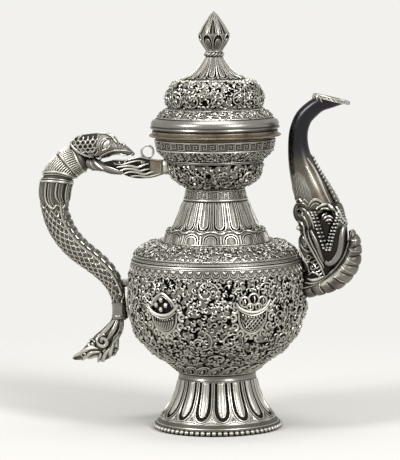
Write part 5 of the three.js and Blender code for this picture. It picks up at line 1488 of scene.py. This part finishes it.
skull_skin = skull.skin(64, 0.6, skull_form)
jaw_skin = jaw.skin(40, 0.7)
eyes = [almond((AXIS_X - 84.7 * MM, side * 9.3 * MM, 224 * MM), -0.75, 4.2, 2.8, 2.7) for side in (-1, 1)]
on_head = Drape(skull_skin, jaw_skin, *eyes)
on_skull = Drape(skull_skin)
for name, ball in zip(("far", "near"), reversed(eyes)):
    deliver(ball, "dragon_eyeball_" + name, chased_silver, ["dragon_eye_" + name])
lines = on_head.lines(
    ([(-89.6, 219.6), (-90.2, 222.8), (-88.8, 226.4), (-85.2, 229), (-81.4, 228.6)], 0.8, 0.5),
    ([(-88.4, 220.4), (-88.6, 223), (-87.2, 226), (-84.6, 227.8), (-81.6, 227.4)], 0.5, 0.5),
    ([(-91.4, 219), (-91.8, 222.8), (-90.4, 227), (-87.6, 229.8)], 0.45, 0.2),
    ([(-88, 219.8), (-84.8, 220.8), (-82, 223.4), (-80.4, 226.6)], 0.6, 0.5),
    ([(-90.6, 231.6), (-86, 231.6), (-82, 230), (-79.4, 227.4), (-77.6, 225)], 1.1, 0.4),
    ([(-79.6, 225.6), (-77.4, 222.4), (-76.6, 220)], 0.5, 0.2),
    ([(-76.6, 222.6), (-75.6, 225), (-73.2, 225), (-71.6, 222.8), (-73, 221)], 0.7, 0.4),
    ([(-93.4, 213), (-90.2, 214.8), (-87, 216.6), (-81.6, 218.9), (-76.2, 219.4), (-69.4, 218.7),
      (-65.6, 217.4)], 0.7, 0.4),
    ([(-92, 211), (-88.6, 212.4), (-85, 214.2), (-80.6, 216.2), (-74.4, 216.6), (-68.4, 215.2),
      (-64.4, 216.2)], 0.75, 0.6),
    ([(-96.2, 212.6), (-94.6, 209.8), (-91.2, 206.8), (-87.2, 204.4)], 1.0, 0.9),
    ([(-98.2, 211.4), (-97, 207.6), (-93.6, 204.8)], 0.5, 0.4),
    ([(-86.6, 206.6), (-81.6, 205), (-76, 202.8)], 0.6, 0.4),
    ([(-97.6, 203.6), (-90, 203.2), (-82, 201), (-74, 199.4)], 0.55, 0.3),
    ([(-94.6, 216), (-92.4, 217.4), (-91, 219.6)], 0.7, 0.4),
    ([(-98.6, 217.6), (-96, 218.2), (-94, 220.4), (-93.4, 223)], 0.6, 0.3),
    (spiral(-97.4, 214.4, 2.4, 1.2, 0.4, 1, 14), 0.7, 0.6),
    (spiral(-101.6, 213.4, 1.8, 1.1, 0.8, 1, 12), 0.5, 0.4),
    ([(-114.4, 225.4), (-110.2, 221), (-105, 217.6), (-99.6, 215.4), (-95.4, 214.6)], 1.1, 0.7),
    ([(-112.6, 226.6), (-108, 222.4), (-103, 219.2), (-98.4, 217.4)], 0.5, 0.2))
for k in range(9):
    x, z = -90.8 + k * 2.5, 212.6 + 3.6 * sin(pi * k / 9)
    lines += on_head.line([(x, z + 1.6), (x + 0.3, z - 0.6)], 0.6, 0.3, 0.5, 1)
strokes("dragon_face_lines", lines)
lines = []
CAP_ROWS = 6
CAP_EDGE = -92.4
for row in range(CAP_ROWS):
    for k in range(6):
        x = -110.8 + 3.9 * k + 1.9 * (row % 2)
        z = 230.2 - 2.9 * row + 0.35 * k
        if x > CAP_EDGE or z > 230.6 or z < 218 - (x + 111) * 0.12:
            continue
        lines += on_skull.line([(x - 2.1, z + 1.7), (x - 1.8, z - 0.3), (x, z - 1.5), (x + 1.8, z - 0.3),
                                (x + 2.1, z + 1.7)], 0.55, 0.35, 0.8, 2)
strokes("dragon_cap_netting", lines, 2)
coated(skull_skin, 1, lambda x, z: x < CAP_EDGE)
deliver(skull_skin, "dragon_skull_skin", chased_ground, ["dragon_skull"], more=(black_ground_and_shade,))
deliver(jaw_skin, "dragon_jaw_skin", chased_ground, ["dragon_jaw"])


# Lid: it drops into the mouth on a thin bezel and rests on its rolled rim. The skirt above is chased, and
# the dome is beaten up from behind into a crowded scroll with pierced eyes.
low, high = heights("lid_bezel")
BEZEL_RADIUS = 42.5
deliver(spun(inset(BEZEL_RADIUS, (1, low), (0.2, low), (0, low + 0.3), (0, high), (1, high))),
        "lid_bezel_drawn", smooth_silver, ["lid_bezel"], body="lid")
low, high = heights("lid_rim")
deliver(spun([
    (42.8, low), (48.6, low), (48.8, low + 0.5), (50.4, low + 0.8), (50.9, low + 1.4), (50.6, low + 2.1),
    (49.6, low + 2.5), (49.5, low + 2.9), (50.1, low + 3.3), (50.2, low + 4.4), (49.7, low + 6),
    (48.8, low + 7.2), (47.3, low + 7.9), (46.9, low + 8.2), (46.3, high), (42.8, high),
]), "lid_rim_rolled", smooth_silver, ["lid_rim"], body="lid")
low, high = heights("lid_skirt")
SKIRT_LINE = smooth_line([(44.9, low), (44.6, low + 1.2), (42.8, low + 2.8), (40.4, low + 4.8),
                          (38.6, low + 6), (37.6, high)], 4)
skirt_wall = Wall(SKIRT_LINE)
deliver(spun(shell(SKIRT_LINE, 1.2)), "lid_skirt_ground", chased_ground, ["lid_skirt"], body="lid")
lines = vine(skirt_wall, 1.2, skirt_wall.length - 1.2, rows=1, pitch=10, size=3.6, width=0.46, seed=41,
             rise=0.3, leafy=1.4)
lines += ringed(skirt_wall, (0.4, 0.7), (skirt_wall.length - 0.5, 0.6))
strokes("lid_skirt_scrolls", lines, 2, body="lid")
low, high = heights("lid_dome")
DOME_LINE = [*smooth_line([(36.3, low), (37, low + 3.4), (37.4, low + 6.8), (37.1, low + 11),
                           (35.8, low + 14.6), (32.4, low + 18.4), (28.4, low + 21),
                           (24, high)]), (2.4, high)]
dome_wall = Wall(DOME_LINE)
deliver(spun(shell(DOME_LINE, 1.2)), "lid_dome_ground", pierced_sheet, ["lid_dome"], body="lid")
dome_top = dome_wall.up_to(high - 0.3)
lines = vine(dome_wall, 1.8, dome_top - 0.6, rows=2, pitch=18, size=7.2, width=0.56, seed=43, rise=1.1,
             leafy=1.5)
lines += ringed(dome_wall, (0.6, 0.8), (dome_top, 0.6))
strokes("lid_dome_vine", lines, 2, body="lid")


# Lid cone: raised from one silver sheet and soldered on the dome. Its lotus petals stand up, and
# their lower ends are curled out into a ruffle.
low, high = heights("lid_cone")
CONE_LINE = [(23.2, low), (23.2, low + 0.5), (22.4, low + 1.3), *smooth_line([
    (20, low + 2.4), (16.9, low + 4.5), (13.8, low + 7.4), (11.3, low + 10), (9.2, low + 13),
    (7.4, low + 16), (6.3, high)], 8)]
cone_wall = Wall(CONE_LINE)
CONE_PETALS = 14
CONE_EDGE = (0.205, cone_wall.length - 0.8, 1.0, 0.2)
CONE_CORE = (0.1, cone_wall.length - 0.8, 4.2, 0.2)
cone = spun(shell(CONE_LINE, 0.9), steps=224)
embossed(cone, cone_wall, [(CONE_PETALS, pi / CONE_PETALS, CONE_EDGE, CONE_CORE)], rise=0.6, sink=0.5)
deliver(cone, "lid_petal_cone", chased_ground, ["lid_cone"], body="lid", more=(black_ground_and_shade,))
lines = []
for k in range(CONE_PETALS):
    middle = tau * (k + 0.5) / CONE_PETALS
    edge = tau * k / CONE_PETALS
    for outline, width in ((CONE_EDGE, 0.36), (CONE_CORE, 0.34)):
        lines.append([(cone_wall.at(turn, up, 0.35 + 1.1 * max(0, 1 - up / 4)), width)
                      for turn, up in tongue(middle, *outline)])
    lines.append([(cone_wall.at(edge, 0.6 + s * 6, 0.3 + 1.2 * (1 - s)), 0.85 - 0.6 * s)
                  for s in (0, 0.3, 0.65, 1)])
strokes("lid_petal_lines", lines, body="lid")


# Finial: a ring of twisted wire, then a lotus bud cast in one piece. A rod runs down through all of it
# and is riveted over a washer under the dome.
low, high = heights("finial_rope_ring")
ROPE_RADIUS = 6.2
ROPE_TURNS = 16
rope = spun([(2.4, low), (ROPE_RADIUS, low + 0.2), (ROPE_RADIUS, high - 0.2), (2.4, high)], steps=64)
deliver(rope, "finial_rope_core", chased_silver, ["finial_rope_ring"], body="lid")
lines = []
for k in range(ROPE_TURNS):
    line = []
    for n in range(7):
        share = n / 6
        turn = tau * (k + share * 1.3) / ROPE_TURNS
        reach = (ROPE_RADIUS + 1.35 * sin(pi * share)) * MM
        line.append((Vector((AXIS_X + reach * cos(turn), reach * sin(turn),
                             (low + (high - low) * (0.06 + 0.88 * share)) * MM)), 0.62))
    lines.append(line)
strokes("finial_rope_strands", lines, body="lid")
low, high = heights("finial_bud")
CALYX = 12.4
BUD_LINE = smooth_line([(5.8, low), (6.4, low + 2), (8.4, low + 5), (10.6, low + 8.6),
                        (11.7, low + CALYX), (11.1, low + CALYX + 2.6), (9.2, low + CALYX + 6.6),
                        (6.4, low + CALYX + 11), (3.4, low + CALYX + 15), (1.2, high - 1.4),
                        (0.1, high)], 6)
bud_wall = Wall(BUD_LINE)
BUD_PETALS = 8
calyx_up = bud_wall.up_to(low + CALYX)
SEPAL_EDGE = (0.36, 1.2, calyx_up + 1.8, 0.5)
SEPAL_CORE = (0.21, 1.2, calyx_up - 1.8, 0.5)
PETAL_EDGE = (0.36, calyx_up + 1.4, bud_wall.length - 3.2, 0.9)
PETAL_CORE = (0.23, calyx_up + 2.4, bud_wall.length - 7, 0.9)
PETAL_RIDGE = (0.05, calyx_up + 2.4, bud_wall.length - 9, 0.9)
bud = spun([(0, low + 9), (2.4, low + 9), (2.4, low), *BUD_LINE[:-1], (0, high)], steps=128, whole=False)
embossed(bud, bud_wall, [(BUD_PETALS, pi / BUD_PETALS, SEPAL_EDGE, SEPAL_CORE),
                         (BUD_PETALS, 0, PETAL_CORE, PETAL_RIDGE)], rise=0.5, sink=0.5)
deliver(bud, "finial_lotus_bud", chased_ground, ["finial_bud"], body="lid", more=(black_ground_and_shade,))
lines = petal_lines(bud_wall, BUD_PETALS, ((0.5, SEPAL_EDGE, 0.42), (0.5, SEPAL_CORE, 0.34),
                                           (0, PETAL_EDGE, 0.34), (0, PETAL_CORE, 0.3)))
for k in range(BUD_PETALS):
    middle = tau * (k + 0.5) / BUD_PETALS
    lines.append([(bud_wall.at(middle + turn, calyx_up + 1.6, 0.3), 1.1) for turn in (-0.03, 0.03)])
lines += ringed(bud_wall, (0.6, 0.6), (1.9, 0.4), steps=48)
strokes("finial_bud_lines", lines, body="lid")


# Vessel and cup liner: plain beaten shells, tinned inside, that hold the tea behind the pierced work. The
# lid's rod and washer are plain too. They all keep the shape of the CAD solids.
tinned_silver = darkened_silver("tinned shell, grey", "#8b8883", "#24211f", "#4f4b46", 0.42, reach_mm=4.0,
                                punch_mm=3.0, depth_mm=0.08, patina=0.6)
for name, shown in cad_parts.items():
    if name.startswith(("belly_liner", "cup_liner", "finial_washer", "finial_rod")):
        for held in shown.material_slots:
            held.material = smooth_silver if name.startswith("finial") else tinned_silver


# Studio: a pale floor that fades into a pale surround, and three soft lamps. The camera stands where the
# photographer's did, 2.3 m from the pot and a little above its shoulder, turned six degrees to the spout.
FLOOR_Z = -0.0002
FLOOR_FADES = (0.2, 0.75)
MIRRORED_SKY = 0.75
LIT_SKY = 0.42
floor = bmesh.new()
bmesh.ops.create_grid(floor, x_segments=2, y_segments=2, size=6)
bmesh.ops.translate(floor, verts=floor.verts, vec=(0, 0, FLOOR_Z))
floor_mesh = bpy.data.meshes.new("studio_floor")
floor.to_mesh(floor_mesh)
floor.free()
floor_piece = bpy.data.objects.new("studio_floor", floor_mesh)
bpy.context.scene.collection.objects.link(floor_piece)
paper = bpy.data.materials.new("pale paper")
tree = empty_tree(paper)
matt = add_node(tree, "ShaderNodeBsdfDiffuse", {}, {"Color": linear("#dcdad6"), "Roughness": 0.9})
away = add_node(tree, "ShaderNodeVectorMath", {"operation": "LENGTH"},
                {0: add_node(tree, "ShaderNodeTexCoord").outputs["Object"]})
gone = ramp(tree, away.outputs["Value"], *FLOOR_FADES, curve="SMOOTHSTEP")
clear = add_node(tree, "ShaderNodeBsdfTransparent")
faded = add_node(tree, "ShaderNodeMixShader", {}, {0: gone, 1: matt.outputs[0], 2: clear.outputs[0]})
add_node(tree, "ShaderNodeOutputMaterial", {}, {"Surface": faded.outputs[0]})
floor_mesh.materials.append(paper)

world = bpy.data.worlds.new("studio")
bpy.context.scene.world = world
tree = empty_tree(world)
ray = add_node(tree, "ShaderNodeLightPath").outputs
seen = maths(tree, "MAXIMUM", ray["Is Camera Ray"], ray["Is Transmission Ray"])
most = maths(tree, "MAXIMUM", seen, maths(tree, "MULTIPLY", ray["Is Glossy Ray"], MIRRORED_SKY))
sky = add_node(tree, "ShaderNodeBackground", {},
               {"Color": linear("#f2f1ee"), "Strength": maths(tree, "MAXIMUM", most, LIT_SKY)})
add_node(tree, "ShaderNodeOutputWorld", {}, {"Surface": sky.outputs["Background"]})


def lamp(name, place, aim, size, power):
    """A soft square lamp that faces a point, in metres and watts."""
    light = bpy.data.lights.new(name, "AREA")
    light.shape = "RECTANGLE"
    light.size, light.size_y = size
    light.energy = power
    held = bpy.data.objects.new(name, light)
    bpy.context.scene.collection.objects.link(held)
    held.location = place
    held.rotation_euler = (Vector(aim) - Vector(place)).to_track_quat("-Z", "Y").to_euler()


BELLY_MIDDLE = (0, 0, 0.16)
lamp("right_lamp", (1.2, -1.2, 1.4), BELLY_MIDDLE, (0.5, 0.9), 22)
lamp("left_lamp", (-1.3, -1.2, 1.5), BELLY_MIDDLE, (0.5, 0.9), 22)
lamp("top_lamp", (0, 0.2, 1.9), (0, 0, 0.1), (0.9, 0.9), 14)

DISTANCE = 2.3
EYE_HEIGHT = 0.392
TURN = radians(6)
PICTURE_TALL = 460
PIXELS_PER_RADIAN = 2944
AXIS_LEFT = 16
ROLL = radians(-0.6)
PICTURE_MIDDLE = 0.156
SENSOR_MM = 36
camera_data = bpy.data.cameras.new("photograph")
camera_data.sensor_fit = "VERTICAL"
camera_data.sensor_height = SENSOR_MM
camera_data.lens = SENSOR_MM * PIXELS_PER_RADIAN / PICTURE_TALL
camera = bpy.data.objects.new("photograph", camera_data)
bpy.context.scene.collection.objects.link(camera)
camera.location = (AXIS_X + DISTANCE * sin(TURN), -DISTANCE * cos(TURN), EYE_HEIGHT)
sideways = Vector((cos(TURN), sin(TURN), 0))
centre = Vector((AXIS_X, 0, PICTURE_MIDDLE)) - sideways * (AXIS_LEFT / PIXELS_PER_RADIAN * DISTANCE)
look = (centre - camera.location).to_track_quat("-Z", "Y").to_matrix()
camera.rotation_euler = (look @ Matrix.Rotation(ROLL, 3, "Z")).to_euler()
bpy.context.scene.camera = camera
bpy.context.scene.view_settings.view_transform = "Standard"
